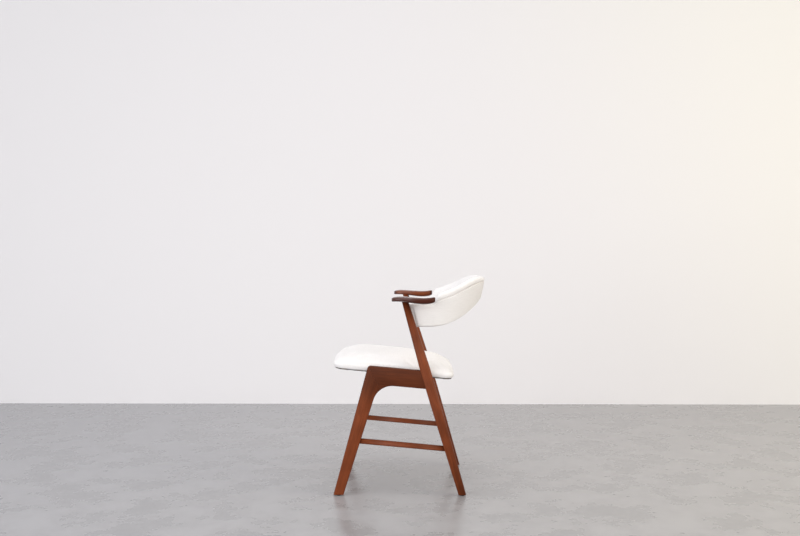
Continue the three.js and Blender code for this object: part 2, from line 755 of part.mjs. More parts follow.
/** A point of the back: a share of the way to the middle, a height and a distance outwards. */
function backPoint(share, z, outwards) {
  const upright = clamp((backSlantEnd - share) / (backSlantEnd - backSlantHold), 0, 1);
  const slant = (wingEndY(z) - wingStartY) * upright;
  const along = share + slant / halfBackLength;
  const { x, y } = halfBack.getPointAt(along);
  const heading = halfBack.getTangentAt(along);
  const reach = outwards + (z - centreBottom) * tan(backLean) * easeInOut(share);
  const sideways = share === 1 ? 0 : x + heading.y * reach;
  return new THREE.Vector3(sideways, y - heading.x * reach, z);
}

// Every band of the back has its sections at these shares, so that their facets lie parallel.
const stepMiddle = (backArmStepStart + backArmStepEnd) / 2;
const backStations = Array.from({ length: 20 }, (_, i) => (i + 1) / 20)
  .concat(backArmStepStart, stepMiddle, backArmStepEnd)
  .sort((a, b) => a - b);

/**
 * A closed band that follows the back from wing to wing.
 * @param {number} fromEnd - Distance of the band's ends from the ends of the wings.
 * @param {Function} section - Outline [outwards, z][] at a share of the way, inner face first.
 */
function backBand(fromEnd, section) {
  const first = fromEnd / halfBackLength;
  const shares = [first, ...backStations.filter((share) => share > first + 0.005)];
  const sections = shares.map((share) =>
    section(share).map(([outwards, z]) => backPoint(share, z, outwards)),
  );
  const half = solid(new LoftGeometry(sections, { capStart: true, capEnd: true }));
  return half.add(half.mirror([1, 0, 0]));
}

const shellOuter = -(backPanelThickness + backPanelStandOff);
const shellInner = shellOuter - backShellThickness;

/** The bent plywood shell, made larger by a gap for the room that it needs. */
const backShell = (gap) =>
  backBand(backShellEndInset - gap, (share) => {
    const [bottom, top] = backEdges(share);
    const low = bottom + backShellBottomInset - gap;
    const high = top - backShellTopInset + gap;
    const [inner, outer] = [shellInner - gap, shellOuter + gap];
    return [[inner, low], [inner, high], [outer, high], [outer, low]];
  });

/** The panel on the outside of the shell, under the padded roll; its room is open outwards. */
const backPanel = (gap, open = 0) =>
  backBand(backPanelFromEnd - gap, (share) => {
    const [inner, outer] = [-backPanelThickness - gap, open];
    const [low, high] = [backEdges(share)[0] - open, backPanelTop(share) + gap];
    return [[inner, low], [inner, high], [outer, high], [outer, low]];
  });

/** The space from the middle of the shell to the middle of the panel, which holds no padding. */
const behindPanel = () =>
  backBand(backPanelFromEnd, (share) => {
    const [bottom, top] = backEdges(share);
    const [inner, outer] = [shellOuter - backShellThickness / 2, -backPanelThickness / 2];
    const low = bottom + backShellBottomInset;
    const high = Math.min(backPanelTop(share), top - backShellTopInset);
    return [[inner, low], [inner, high], [outer, high], [outer, low]];
  });

/** The whole padded back: flat outside, a soft bulge inside and a half-round roll on top. */
function paddedBack() {
  const outline = (share) => {
    const [bottom, top] = backEdges(share);
    const endShare = clamp((share * halfBackLength) / backEndRound, 0, 1);
    const thinned = lerp(backEndPad, 1, Math.sqrt(1 - (1 - endShare) ** 2));
    const pad = lerp(backWingPad, backCentrePad, easeInOut(share)) * thinned;
    const depth = pad + glueGap - shellInner;
    const shoulder = top - backTopRound;
    const face = [0.2, 0.4, 0.6, 0.8, 1].map((t) => {
      const bulge = backPadBulge * thinned * sin(PI * t);
      return [-depth - bulge, lerp(bottom + backBottomRound, shoulder, t)];
    });
    const roll = [1, 2, 3, 4, 5, 6, 7].map((i) => {
      const angle = PI * (1 - i / 7);
      const across = (depth / 2) * (1 - cos(angle));
      return [-across, shoulder + backTopRound * sin(angle)];
    });
    return [
      [-depth + backBottomRound, bottom],
      [-depth + backBottomRound * 0.3, bottom + backBottomRound * 0.3],
      [-depth, bottom + backBottomRound],
      ...face,
      ...roll,
      [0, bottom],
    ];
  };
  return backBand(0, outline);
}

/** Screws from inside the shell into the rear leg at +X. */
const backScrews = [-1, 1].map((end) => {
  const z = (wingTop + wingBottom + end * backScrewSpacing) / 2;
  const legFaceX = frameX - rearLegSize(z).thickness / 2;
  const startX = wingX + shellInner;
  return screw({
    start: [startX, rearAxisY(z) + backScrewBehindAxis, z],
    direction: new THREE.Vector3(1, 0, 0),
    shank: legFaceX + backScrewInLeg - startX - backScrewHeadHeight,
    radius: backScrewRadius,
    headRadius: backScrewHeadRadius,
    headHeight: backScrewHeadHeight,
    counterbore: glueGap,
  });
});

/** The back: shell, the upholstery that wraps it and the panel that closes it outside. */
function backGroup() {
  const holes = backScrews.flatMap(([, hole]) => [hole, hole.mirror([1, 0, 0])]);
  const rooms = [backShell(glueGap), backPanel(glueGap, backPanelThickness), behindPanel()];
  const cushion = cutBy(paddedBack(), [...rooms, ...holes]);
  const group = new THREE.Group();
  group.add(
    part("back_shell", cutBy(backShell(0), holes), plywood),
    part("back_cushion", cushion, wool),
    part("back_outer_panel", backPanel(0), wool),
  );
  return group;
}

// ---------------------------------------------------------------- the chair
const crossDowels = crossDowelPlaces.map((place) => {
  const centre = place.clone().applyMatrix4(seatPose).toArray();
  return dowel(crossDowelLength, centre, new THREE.Vector3(1, 0, 0));
});
const frameAt = sideFrame(crossDowels, backScrews);
const rightFrame = frameAt("right");
rightFrame.scale.x = -1;

const chair = new THREE.Group();
chair.name = "dining_armchair";
chair.add(frameAt("left"), rightFrame, seatGroup(), backGroup());

// The origin is under the middle of the chair, so the drawing is moved by its own offset.
const bounds = new THREE.Box3().setFromObject(chair, true);
chair.position.y = -(bounds.min.y + bounds.max.y) / 2;

export default chair;
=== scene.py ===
"""A dining armchair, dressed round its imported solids: oiled teak, wool upholstery, plain studio.

Metres, +Z up. X runs across the chair, the sitter faces -Y and the floor is Z = 0. Angles among
the sizes are in degrees.
"""
import logging
import math
from dataclasses import dataclass, field
from enum import Enum
from typing import Callable, Iterable, Sequence

import bmesh
import bpy
import numpy as np
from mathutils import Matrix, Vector
from mathutils.bvhtree import BVHTree


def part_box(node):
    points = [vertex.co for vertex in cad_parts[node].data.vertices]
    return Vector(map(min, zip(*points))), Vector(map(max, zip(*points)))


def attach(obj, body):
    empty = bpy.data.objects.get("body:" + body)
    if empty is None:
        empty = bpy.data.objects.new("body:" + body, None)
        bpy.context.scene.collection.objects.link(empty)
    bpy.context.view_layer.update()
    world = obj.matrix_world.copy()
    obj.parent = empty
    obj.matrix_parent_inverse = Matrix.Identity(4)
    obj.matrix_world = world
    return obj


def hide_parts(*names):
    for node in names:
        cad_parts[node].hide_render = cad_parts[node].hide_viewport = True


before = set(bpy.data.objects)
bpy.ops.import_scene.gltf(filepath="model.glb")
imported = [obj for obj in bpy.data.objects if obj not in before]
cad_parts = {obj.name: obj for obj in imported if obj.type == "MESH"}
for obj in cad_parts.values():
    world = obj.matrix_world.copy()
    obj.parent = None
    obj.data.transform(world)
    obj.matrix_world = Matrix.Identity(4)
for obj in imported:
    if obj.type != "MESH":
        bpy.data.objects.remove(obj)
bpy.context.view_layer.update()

LOG = logging.getLogger("armchair")
Pair = tuple[float, float]
Rgb = tuple[float, float, float]
Point = tuple[float, float, float]
Array = np.ndarray
Socket = bpy.types.NodeSocket
Mesh = bpy.types.Mesh
Material = bpy.types.Material
Piece = bpy.types.Object

MM = 0.001
ROOT = "root"
GRAIN = "grain"  # vertex attribute: where a point lies in its board
CLOTH_MAP = "cloth"  # UV map: where a point lies in its cloth, in metres
OUTWARDS = "outwards"  # vertex attribute: the way out of the surface under a path
NODE_PITCH = 180
BOARD_STRIDE = 3.7  # metres of the log between one piece and the next
BOARD_SHIFT = 12 * MM
GRAIN_DRIFT = 20 * MM
PITH_DEPTH = 45 * MM
PORE_LEVEL = 0.67
PORE_CONTRAST = 9.0
YARN_WOBBLE = 1.2 * MM
ARCH_STEPS = 6
WIRE_SIDES = 6
CHUNK = 2000  # how many points are measured at once


class Side(Enum):
    """A side of the chair, with the sign of X there."""

    LEFT = 1
    RIGHT = -1

    @property
    def word(self) -> str:
        """The side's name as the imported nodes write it."""
        return self.name.lower()


# ------------------------------------------------------------------ node wiring
class Wiring:
    """Adds nodes to one node tree and links them."""

    def __init__(self, tree: bpy.types.NodeTree) -> None:
        self.tree = tree
        self.columns = 0

    def node(
        self, kind: str, inputs: dict[str | int, object] | None = None, **settings: object
    ) -> bpy.types.Node:
        """Adds a node.

        Args:
            kind: Its class name.
            inputs: What its sockets are fed with, by name or number.
            settings: Its properties by name.

        Returns:
            The new node.
        """
        made = self.tree.nodes.new(kind)
        made.location = (NODE_PITCH * self.columns, 0)
        self.columns += 1
        for name, value in settings.items():
            setattr(made, name, value)
        self.fill(made.inputs, inputs or {})
        return made

    def fill(self, sockets: bpy.types.NodeInputs, values: dict[str | int, object]) -> None:
        """Feeds several sockets of a node, by name or number."""
        for label, value in values.items():
            self.feed(sockets[label], value)

    def feed(self, socket: Socket, value: object) -> None:
        """Links a socket to another one, or sets its own value.

        Args:
            socket: The input.
            value: An output socket, a number or a tuple; None leaves the input alone.
        """
        if isinstance(value, Socket):
            self.tree.links.new(value, socket)
        elif value is not None:
            socket.default_value = value

    def math(self, operation: str, a: object, b: object = None, c: object = None) -> Socket:
        """A Math node of up to three inputs, and its output."""
        return self.node("ShaderNodeMath", {0: a, 1: b, 2: c}, operation=operation).outputs[0]

    def split(self, value: Socket) -> tuple[Socket, Socket, Socket]:
        """The X, Y and Z of a vector."""
        made = self.node("ShaderNodeSeparateXYZ", {0: value}).outputs
        return made[0], made[1], made[2]

    def join(self, x: object, y: object, z: object) -> Socket:
        """A vector made of three numbers."""
        return self.node("ShaderNodeCombineXYZ", {0: x, 1: y, 2: z}).outputs[0]

    def own_place(self) -> Socket:
        """Where a point lies in its object, in metres."""
        return self.node("ShaderNodeTexCoord").outputs["Object"]

    def noise(
        self, vector: Socket, scale: float, detail: float = 3.0, rough: float = 0.5
    ) -> Socket:
        """Noise from 0 to 1 at a scale."""
        values = {"Vector": vector, "Scale": scale, "Detail": detail, "Roughness": rough}
        return self.node("ShaderNodeTexNoise", values).outputs[0]

    def span(
        self, value: Socket, low: float, high: float, to_low: float = 0.0, to_high: float = 1.0
    ) -> Socket:
        """Maps a range to another one smoothly, and stays inside it."""
        values = {0: value, 1: low, 2: high, 3: to_low, 4: to_high}
        return self.node("ShaderNodeMapRange", values, interpolation_type="SMOOTHSTEP").outputs[0]

    def blend(self, factor: object, a: object, b: object, mode: str = "MIX") -> Socket:
        """Mixes two colours by a factor."""
        values = {0: factor, 6: colour(a), 7: colour(b)}
        return self.node("ShaderNodeMix", values, data_type="RGBA", blend_type=mode).outputs[2]

    def bump(self, height: Socket, depth: float) -> Socket:
        """A normal from a height in metres times a depth."""
        values = {"Strength": 1.0, "Distance": depth, "Height": height}
        return self.node("ShaderNodeBump", values).outputs[0]


def colour(value: object) -> object:
    """A colour with its alpha, where a bare red, green and blue is given."""
    return (*value, 1.0) if isinstance(value, tuple) and len(value) == 3 else value


def scaled(tone: Rgb, share: float) -> Rgb:
    """A lighter or darker tone."""
    return tuple(share * part for part in tone)


def node_group(name: str, inputs: dict[str, object], outputs: dict[str, str]) -> tuple:
    """A shader node group with named sockets.

    Args:
        name: The group's name.
        inputs: Default value of each input; a tuple makes a vector.
        outputs: Socket type of each output, without its prefix.

    Returns:
        The group, its wiring, its input sockets by name and its output node.
    """
    tree = bpy.data.node_groups.new(name, "ShaderNodeTree")
    for label, value in inputs.items():
        kind = "NodeSocketVector" if isinstance(value, tuple) else "NodeSocketFloat"
        socket = tree.interface.new_socket(label, in_out="INPUT", socket_type=kind)
        socket.default_value = value
    for label, kind in outputs.items():
        tree.interface.new_socket(label, in_out="OUTPUT", socket_type=f"NodeSocket{kind}")
    wiring = Wiring(tree)
    given = wiring.node("NodeGroupInput").outputs
    return tree, wiring, given, wiring.node("NodeGroupOutput")


# ------------------------------------------------------------------ shared effects
def wood_grain_group() -> bpy.types.NodeTree:
    """Straight hardwood grain. Its vector runs along the grain in X, in metres.

    Returns:
        The group.
    """
    tree, w, given, out = node_group(
        "wood_grain",
        {"Vector": (0.0, 0.0, 0.0), "Ring Width": 4 * MM},
        {"Figure": "Float", "Streaks": "Float", "Pores": "Float", "Height": "Float"},
    )
    along, across, through = w.split(given["Vector"])

    def drawn_out(share: float, scale: float, detail: float, rough: float = 0.5) -> Socket:
        """Noise whose spots are drawn out along the grain, the more the smaller the share."""
        place = w.join(w.math("MULTIPLY", along, share), across, through)
        return w.noise(place, scale, detail, rough)

    wander = drawn_out(share=0.12, scale=26.0, detail=2.0)
    drift = w.math("MULTIPLY", wander, GRAIN_DRIFT)
    pith = w.math("ADD", through, PITH_DEPTH)
    radius = w.math("SQRT", w.math("ADD", w.math("POWER", across, 2.0), w.math("POWER", pith, 2.0)))
    ring = w.math("FRACT", w.math("DIVIDE", w.math("ADD", radius, drift), given["Ring Width"]))
    late_wood = w.math("MULTIPLY", w.span(ring, 0.35, 0.93), w.span(ring, 0.94, 1.0, 1.0, 0.0))
    fibre = drawn_out(share=0.02, scale=900.0, detail=4.0, rough=0.6)
    broad = drawn_out(share=0.05, scale=60.0, detail=3.0, rough=0.55)
    dashes = drawn_out(share=0.045, scale=2400.0, detail=2.0, rough=0.4)
    pores = w.math("MULTIPLY", w.math("SUBTRACT", dashes, PORE_LEVEL), PORE_CONTRAST)
    pores = w.math("MINIMUM", w.math("MAXIMUM", pores, 0.0), 1.0)
    w.fill(out.inputs, {
        "Figure": w.math("MULTIPLY", late_wood, w.span(broad, 0.3, 0.7, 0.4, 1.0)),
        "Streaks": w.math("ADD", w.math("MULTIPLY", fibre, 0.6), w.math("MULTIPLY", broad, 0.4)),
        "Pores": pores,
        "Height": w.math("SUBTRACT", w.math("MULTIPLY", fibre, 0.35), pores),
    })
    return tree


def woven_cloth_group() -> bpy.types.NodeTree:
    """A plain weave of soft yarn. Its vector lies in the cloth's plane, in metres.

    Returns:
        The group.
    """
    tree, w, given, out = node_group(
        "woven_cloth",
        {"Vector": (0.0, 0.0, 0.0), "Yarn Pitch": 2 * MM, "Slubs": 0.5},
        {"Yarn": "Float", "Slub": "Float", "Fuzz": "Float", "Height": "Float"},
    )
    u, v, _ = w.split(given["Vector"])
    wobble = w.math("SUBTRACT", w.noise(given["Vector"], scale=240.0, detail=2.0), 0.5)
    wobble = w.math("MULTIPLY", wobble, YARN_WOBBLE)
    u = w.math("DIVIDE", w.math("ADD", u, wobble), given["Yarn Pitch"])
    v = w.math("DIVIDE", w.math("SUBTRACT", v, wobble), given["Yarn Pitch"])

    def yarn(place: Socket, run: Socket, phase: float) -> Socket:
        """The height of one set of yarns, which pass over and under the other set.

        Args:
            place: Where a point lies across the yarns, in yarns.
            run: Where it lies along them.
            phase: Shifts the crossings from one yarn to the next.

        Returns:
            The height, from 0 to 1.
        """
        body = w.math("ABSOLUTE", w.math("SINE", w.math("MULTIPLY", place, math.pi)))
        turn = w.math("ADD", w.math("FLOOR", place), phase)
        wave = w.math("COSINE", w.math("MULTIPLY", w.math("ADD", run, turn), math.pi))
        return w.math("MULTIPLY", body, w.math("MULTIPLY_ADD", wave, 0.5, 0.5))

    weave = w.math("MAXIMUM", yarn(u, v, 0.5), yarn(v, u, 1.5))
    yarns = w.join(w.math("MULTIPLY", u, 0.08), w.math("MULTIPLY", v, 0.45), 0.0)
    slub = w.noise(yarns, scale=1.0)
    fuzz = w.noise(given["Vector"], scale=2600.0, rough=0.7)
    height = w.math("ADD", weave, w.math("MULTIPLY", w.math("MULTIPLY", slub, given["Slubs"]), 0.8))
    height = w.math("MULTIPLY_ADD", fuzz, 0.5, height)
    w.fill(out.inputs, {"Yarn": weave, "Slub": slub, "Fuzz": fuzz, "Height": height})
    return tree


class Effects:
    """The shared node groups, built once, and a way to place them in a material."""

    def __init__(self) -> None:
        self.grain = wood_grain_group()
        self.weave = woven_cloth_group()

    @staticmethod
    def place(w: Wiring, tree: bpy.types.NodeTree, **values: object) -> bpy.types.NodeOutputs:
        """Places a group in a material.

        Args:
            w: The material's wiring.
            tree: The group.
            values: Its inputs by name, with _ for a space.

        Returns:
            The outputs of the placed group.
        """
        inputs = {label.replace("_", " "): value for label, value in values.items()}
        return w.node("ShaderNodeGroup", inputs, node_tree=tree).outputs


def new_material(name: str) -> tuple[Material, Wiring, bpy.types.NodeInputs]:
    """An empty material with one Principled shader.

    Args:
        name: The material's name.

    Returns:
        The material, its wiring and the shader's inputs.
    """
    material = bpy.data.materials.new(name)
    material.use_nodes = True
    material.node_tree.nodes.clear()
    w = Wiring(material.node_tree)
    shader = w.node("ShaderNodeBsdfPrincipled")
    w.node("ShaderNodeOutputMaterial", {"Surface": shader.outputs[0]})
    return material, w, shader.inputs


# ------------------------------------------------------------------ finishes
@dataclass(frozen=True)
class WoodFinish:
    """Oiled or raw wood, read from the grain attribute or from the object's own coordinates."""

    name: str
    light: Rgb
    dark: Rgb
    pore: Rgb
    ring_width: float = 3.4 * MM
    roughness: float = 0.42
    coat: float = 0.05
    coat_roughness: float = 0.28
    figure: float = 0.55
    grain_attribute: bool = True
    specular: float = 0.25
    grain_depth: float = 0.10 * MM
    streaks: Pair = (0.32, 0.68)
    patches: Pair = (0.86, 1.1)
    pore_share: float = 0.75
    pore_roughness: float = 0.25
    streak_roughness: float = 0.12
    handled: Rgb | None = None
    handled_beyond: float = 250 * MM
    handled_fade: float = 14 * MM
    tips: Pair = (0.0, math.inf)
    tip_fade: float = 12 * MM
    polished: Pair | None = None
    polish: float = 0.8
    # Painted shade: a darkening that fades in between two heights, for the shade under the seat's
    # edge.
    darker_above: Pair | None = None
    darker_tint: Rgb = (0.45, 0.47, 0.5)
    darker_share: float = 0.8

    def make(self, effects: Effects) -> Material:
        """Builds the material from the shared node groups.

        Args:
            effects: The shared node groups.

        Returns:
            The material.
        """
        material, w, shader = new_material(self.name)
        if self.grain_attribute:
            place = w.node("ShaderNodeAttribute", attribute_name=GRAIN).outputs["Vector"]
        else:
            place = w.own_place()
        grain = effects.place(w, effects.grain, Vector=place, Ring_Width=self.ring_width)
        base = w.blend(w.span(grain["Streaks"], *self.streaks), self.dark, self.light)
        base = w.blend(w.math("MULTIPLY", grain["Figure"], self.figure), base, self.dark)
        patch = w.span(w.noise(place, scale=9.0, detail=2.0), 0.35, 0.7, *self.patches)
        base = w.blend(1.0, base, w.join(patch, patch, patch), "MULTIPLY")
        if self.handled:
            base = self.worn(w, base)
        # Painted shade: darker towards the top, as under the seat's overhanging edge.
        if self.darker_above:
            height = w.split(w.own_place())[2]
            painted_shade = w.blend(1.0, base, self.darker_tint, "MULTIPLY")
            share = w.span(height, *self.darker_above, to_high=self.darker_share)
            base = w.blend(share, base, painted_shade)
        coat = self.coat
        if self.polished:
            coat = w.span(w.split(w.own_place())[1], *self.polished, self.polish, self.coat)
        open_pores = w.math("MULTIPLY", grain["Pores"], self.pore_share)
        rough = w.math("MULTIPLY_ADD", grain["Pores"], self.pore_roughness, self.roughness)
        w.fill(shader, {
            "Base Color": w.blend(open_pores, base, self.pore),
            "Roughness": w.math("MULTIPLY_ADD", grain["Streaks"], self.streak_roughness, rough),
            "Specular IOR Level": self.specular,
            "Coat Weight": coat,
            "Coat Roughness": self.coat_roughness,
            "Normal": w.bump(grain["Height"], self.grain_depth),
        })
        return material

    def worn(self, w: Wiring, base: Socket) -> Socket:
        """Darkens the outer side, which hands have polished, and the end grain at the tips.

        Args:
            w: The material's wiring.
            base: The colour of the bare wood.

        Returns:
            The colour with the darkened parts.
        """
        x, y, _ = w.split(w.own_place())
        edge = self.handled_beyond
        outer = w.span(w.math("ABSOLUTE", x), edge, edge + self.handled_fade, to_high=0.85)
        middle, reach = self.tips
        off = w.math("ABSOLUTE", w.math("SUBTRACT", y, middle))
        tip = w.span(off, reach - self.tip_fade, reach, to_high=0.9)
        return w.blend(w.math("MAXIMUM", outer, tip), base, self.handled)


@dataclass(frozen=True)
class ClothFinish:
    """Woven cloth, read from the piece's cloth map or from the object's own coordinates."""

    name: str
    light: Rgb
    dark: Rgb
    yarn_pitch: float = 2.1 * MM
    slubs: float = 0.6
    depth: float = 0.35 * MM
    sheen: float = 0.35
    yarn_share: float = 0.5
    slub_share: float = 0.45
    fuzz_share: float = 0.25
    mapped: bool = True

    def make(self, effects: Effects) -> Material:
        """Builds the material from the shared node groups.

        Args:
            effects: The shared node groups.

        Returns:
            The material.
        """
        material, w, shader = new_material(self.name)
        if self.mapped:
            place = w.node("ShaderNodeUVMap", uv_map=CLOTH_MAP).outputs[0]
        else:
            place = w.own_place()
        cloth = effects.place(
            w, effects.weave, Vector=place, Yarn_Pitch=self.yarn_pitch, Slubs=self.slubs
        )
        tone = w.math("MULTIPLY", cloth["Yarn"], self.yarn_share)
        tone = w.math("MULTIPLY_ADD", cloth["Slub"], self.slub_share, tone)
        tone = w.math("MULTIPLY_ADD", cloth["Fuzz"], self.fuzz_share, tone)
        w.fill(shader, {
            "Base Color": w.blend(w.span(tone, 0.1, 0.75), self.dark, self.light),
            "Roughness": 0.92,
            "Specular IOR Level": 0.25,
            "Sheen Weight": self.sheen,
            "Sheen Roughness": 0.5,
            "Sheen Tint": colour(self.light),
            "Normal": w.bump(cloth["Height"], self.depth),
        })
        return material


@dataclass(frozen=True)
class PlainFinish:
    """Metal or moulded plastic with a fine, uneven surface."""

    name: str
    tone: Rgb
    metallic: float
    roughness: float
    speckle: float = 600.0
    depth: float = 0.03 * MM

    def make(self, effects: Effects) -> Material:
        """Builds the material; it needs none of the shared groups.

        Args:
            effects: The shared node groups; not used.

        Returns:
            The material.
        """
        material, w, shader = new_material(self.name)
        spots = w.noise(w.own_place(), self.speckle, rough=0.6)
        w.fill(shader, {
            "Base Color": w.blend(w.span(spots, 0.3, 0.7), scaled(self.tone, 0.7), self.tone),
            "Roughness": w.math("MULTIPLY_ADD", spots, 0.2, self.roughness - 0.1),
            "Metallic": self.metallic,
            "Normal": w.bump(spots, self.depth),
        })
        return material


class Finish(Enum):
    """Every finish on the chair."""

    TEAK = WoodFinish(
        "oiled_teak", (0.262, 0.064, 0.020), (0.125, 0.028, 0.009), (0.05, 0.013, 0.006),
        specular=0.16,
    )
    # Front legs and side rails, with painted shade towards their tops under the seat's edge.
    SIDE_TEAK = WoodFinish(
        "oiled_teak_side", (0.250, 0.061, 0.020), (0.135, 0.031, 0.010), (0.045, 0.012, 0.006),
        figure=0.4, specular=0.12, coat=0.02, darker_above=(300 * MM, 395 * MM),
    )
    ARM_TEAK = WoodFinish(
        "oiled_teak_armrest", (0.222, 0.056, 0.017), (0.118, 0.028, 0.009), (0.03, 0.01, 0.007),
        ring_width=2.6 * MM, roughness=0.34, coat=0.1, coat_roughness=0.12, figure=0.45,
        specular=0.08, handled=(0.052, 0.0125, 0.008), handled_beyond=252 * MM,
        tips=(13.3 * MM, 71 * MM), polished=(-5 * MM, 30 * MM),
    )
    BEECH = WoodFinish(
        "raw_beech", (0.60, 0.42, 0.25), (0.45, 0.29, 0.16), (0.30, 0.18, 0.10), roughness=0.62,
        coat=0.0, figure=0.3, grain_attribute=False,
    )
    PLYWOOD = WoodFinish(
        "raw_plywood", (0.62, 0.46, 0.28), (0.42, 0.28, 0.16), (0.25, 0.15, 0.08),
        ring_width=1.5 * MM, roughness=0.66, coat=0.0, figure=0.5, grain_attribute=False,
    )
    WOOL = ClothFinish("off_white_wool", (0.905, 0.885, 0.878), (0.765, 0.742, 0.728))
    # The thread is greyer than the wool: partly its own colour, partly painted shade along the
    # seam.
    THREAD = ClothFinish(
        "sewing_thread", (0.76, 0.72, 0.68), (0.55, 0.51, 0.47), yarn_pitch=0.4 * MM, slubs=0.1,
        depth=0.05 * MM, mapped=False,
    )
    # A real dust cover whose black border also paints the shade line along the seat's lower edge.
    DUST_CLOTH = ClothFinish(
        "black_dust_cloth", (0.028, 0.028, 0.03), (0.012, 0.012, 0.013), yarn_pitch=0.9 * MM,
        slubs=0.9, depth=0.12 * MM, sheen=0.15, mapped=False,
    )
    NYLON = PlainFinish("brown_nylon", (0.045, 0.034, 0.028), 0.0, 0.5)
    ZINC = PlainFinish("zinc_plate", (0.62, 0.63, 0.65), 1.0, 0.35)
    STAPLE = PlainFinish("staple_wire", (0.50, 0.50, 0.52), 1.0, 0.30)


class Workshop:
    """Keeps the built materials, and hands finished pieces to the frame."""

    def __init__(self) -> None:
        self.effects = Effects()
        self.arches = arches_tree()
        self.materials = {finish: finish.value.make(self.effects) for finish in Finish}

    def dress_node(self, node: str, finish: Finish) -> None:
        """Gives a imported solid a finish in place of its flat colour.

        Args:
            node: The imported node.
            finish: What it is made of.
        """
        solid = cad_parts[node]
        if not solid.material_slots:
            solid.data.materials.append(None)
        for slot in solid.material_slots:
            slot.material = self.materials[finish]
        LOG.info("dressed %s with %s", node, finish.value.name)

    def deliver(
        self, piece: Piece, finish: Finish, replaces: Sequence[str] = ()
    ) -> Piece:
        """Gives a piece its finish, its body and the solids that it stands for.

        Args:
            piece: The finished object, with its place in its mesh.
            finish: What it is made of.
            replaces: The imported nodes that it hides.

        Returns:
            The piece.
        """
        piece.data.materials.clear()
        piece.data.materials.append(self.materials[finish])
        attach(piece, ROOT)
        if replaces:
            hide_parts(*replaces)
        LOG.info("made %s, %d faces", piece.name, len(piece.data.polygons))
        return piece


# ------------------------------------------------------------------ mesh tools
def link(name: str, data: bpy.types.ID) -> Piece:
    """A new object in the scene for a mesh, a light or a camera.

    Args:
        name: The object's name.
        data: Its mesh, light or camera.

    Returns:
        The new object.
    """
    made = bpy.data.objects.new(name, data)
    bpy.context.scene.collection.objects.link(made)
    return made


def smooth(mesh: Mesh, crease: float) -> None:
    """Shades a mesh smooth, with sharp edges above an angle in degrees."""
    mesh.shade_smooth()
    mesh.set_sharp_from_angle(angle=math.radians(crease))


def points_of(mesh: Mesh) -> Array:
    """A mesh's vertices as rows.

    Args:
        mesh: Any mesh.

    Returns:
        Vertices x 3.
    """
    flat = np.zeros(3 * len(mesh.vertices))
    mesh.vertices.foreach_get("co", flat)
    return flat.reshape(-1, 3)


def move_points(mesh: Mesh, points: Array) -> None:
    """Puts a mesh's vertices at new places."""
    mesh.vertices.foreach_set("co", points.astype(np.float32).ravel())
    mesh.update()


def loft(name: str, rings: Array, charts: Array | None = None) -> Mesh:
    """Skins closed rings, with a cap on both ends.

    Args:
        name: The mesh's name.
        rings: Points as stations x points round x 3.
        charts: Cloth coordinates as stations x points round x 2, in metres.

    Returns:
        The closed mesh, with its faces outwards.
    """
    stations, around, _ = rings.shape
    faces = []
    for low in range(0, (stations - 1) * around, around):
        for j in range(around):
            k = (j + 1) % around
            faces.append((low + j, low + k, low + around + k, low + around + j))
    last = (stations - 1) * around
    faces.append(tuple(reversed(range(around))))
    faces.append(tuple(range(last, last + around)))
    mesh = bpy.data.meshes.new(name)
    mesh.from_pydata(rings.reshape(-1, 3).tolist(), [], faces)
    if charts is not None:
        set_chart(mesh, charts.reshape(-1, 2))
    outwards(mesh)
    return mesh


def outwards(mesh: Mesh) -> None:
    """Merges points that meet and turns every face outwards.

    Args:
        mesh: A closed mesh.
    """
    work = bmesh.new()
    work.from_mesh(mesh)
    bmesh.ops.remove_doubles(work, verts=work.verts, dist=1e-6)
    bmesh.ops.recalc_face_normals(work, faces=work.faces)
    work.to_mesh(mesh)
    work.free()
    mesh.update()


def set_chart(mesh: Mesh, chart: Array) -> None:
    """Writes cloth coordinates, one pair for each vertex, as a UV map.

    Args:
        mesh: The mesh of a cloth.
        chart: Vertices x 2, in metres.
    """
    layer = mesh.uv_layers.get(CLOTH_MAP) or mesh.uv_layers.new(name=CLOTH_MAP)
    corners = np.zeros(len(mesh.loops), dtype=np.int32)
    mesh.loops.foreach_get("vertex_index", corners)
    layer.data.foreach_set("uv", chart[corners].astype(np.float32).ravel())


def set_vectors(mesh: Mesh, name: str, rows: Array) -> None:
    """Writes a vector attribute, one row for each vertex."""
    layer = mesh.attributes.new(name, "FLOAT_VECTOR", "POINT")
    layer.data.foreach_set("vector", rows.astype(np.float32).ravel())


def set_grain(mesh: Mesh, along: Sequence[float], seed: float) -> None:
    """Writes where each vertex lies in its board: along the grain, across it and through it.

    Args:
        mesh: The mesh of one wooden piece.
        along: The direction of the grain.
        seed: Moves the piece to a part of the log of its own.
    """
    first = Vector(along).normalized()
    second = first.cross(Vector((1.0, 0.0, 0.0)))
    if second.length < 0.5:
        second = first.cross(Vector((0.0, 0.0, 1.0)))
    second.normalize()
    points = points_of(mesh)
    local = (points - points.mean(axis=0)) @ np.array([first, second, first.cross(second)]).T
    own_part = np.array([seed * BOARD_STRIDE, BOARD_SHIFT * math.sin(seed), 0.0])
    set_vectors(mesh, GRAIN, local + own_part)


def copy_of(node: str) -> Piece:
    """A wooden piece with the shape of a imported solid, its loose triangles joined.

    Args:
        node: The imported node.

    Returns:
        The piece, named after the node.
    """
    name = f"{node}_wood"
    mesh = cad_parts[node].data.copy()
    mesh.name = name
    outwards(mesh)
    smooth(mesh, 35.0)
    return link(name, mesh)


def evaluated(piece: Piece) -> Mesh:
    """The mesh of a piece with its modifiers applied."""
    graph = bpy.context.evaluated_depsgraph_get()
    return bpy.data.meshes.new_from_object(piece.evaluated_get(graph), depsgraph=graph)


def apply_modifiers(piece: Piece) -> None:
    """Turns a piece's modifiers into its mesh.

    Args:
        piece: The piece.
    """
    mesh = evaluated(piece)
    piece.modifiers.clear()
    piece.data = mesh


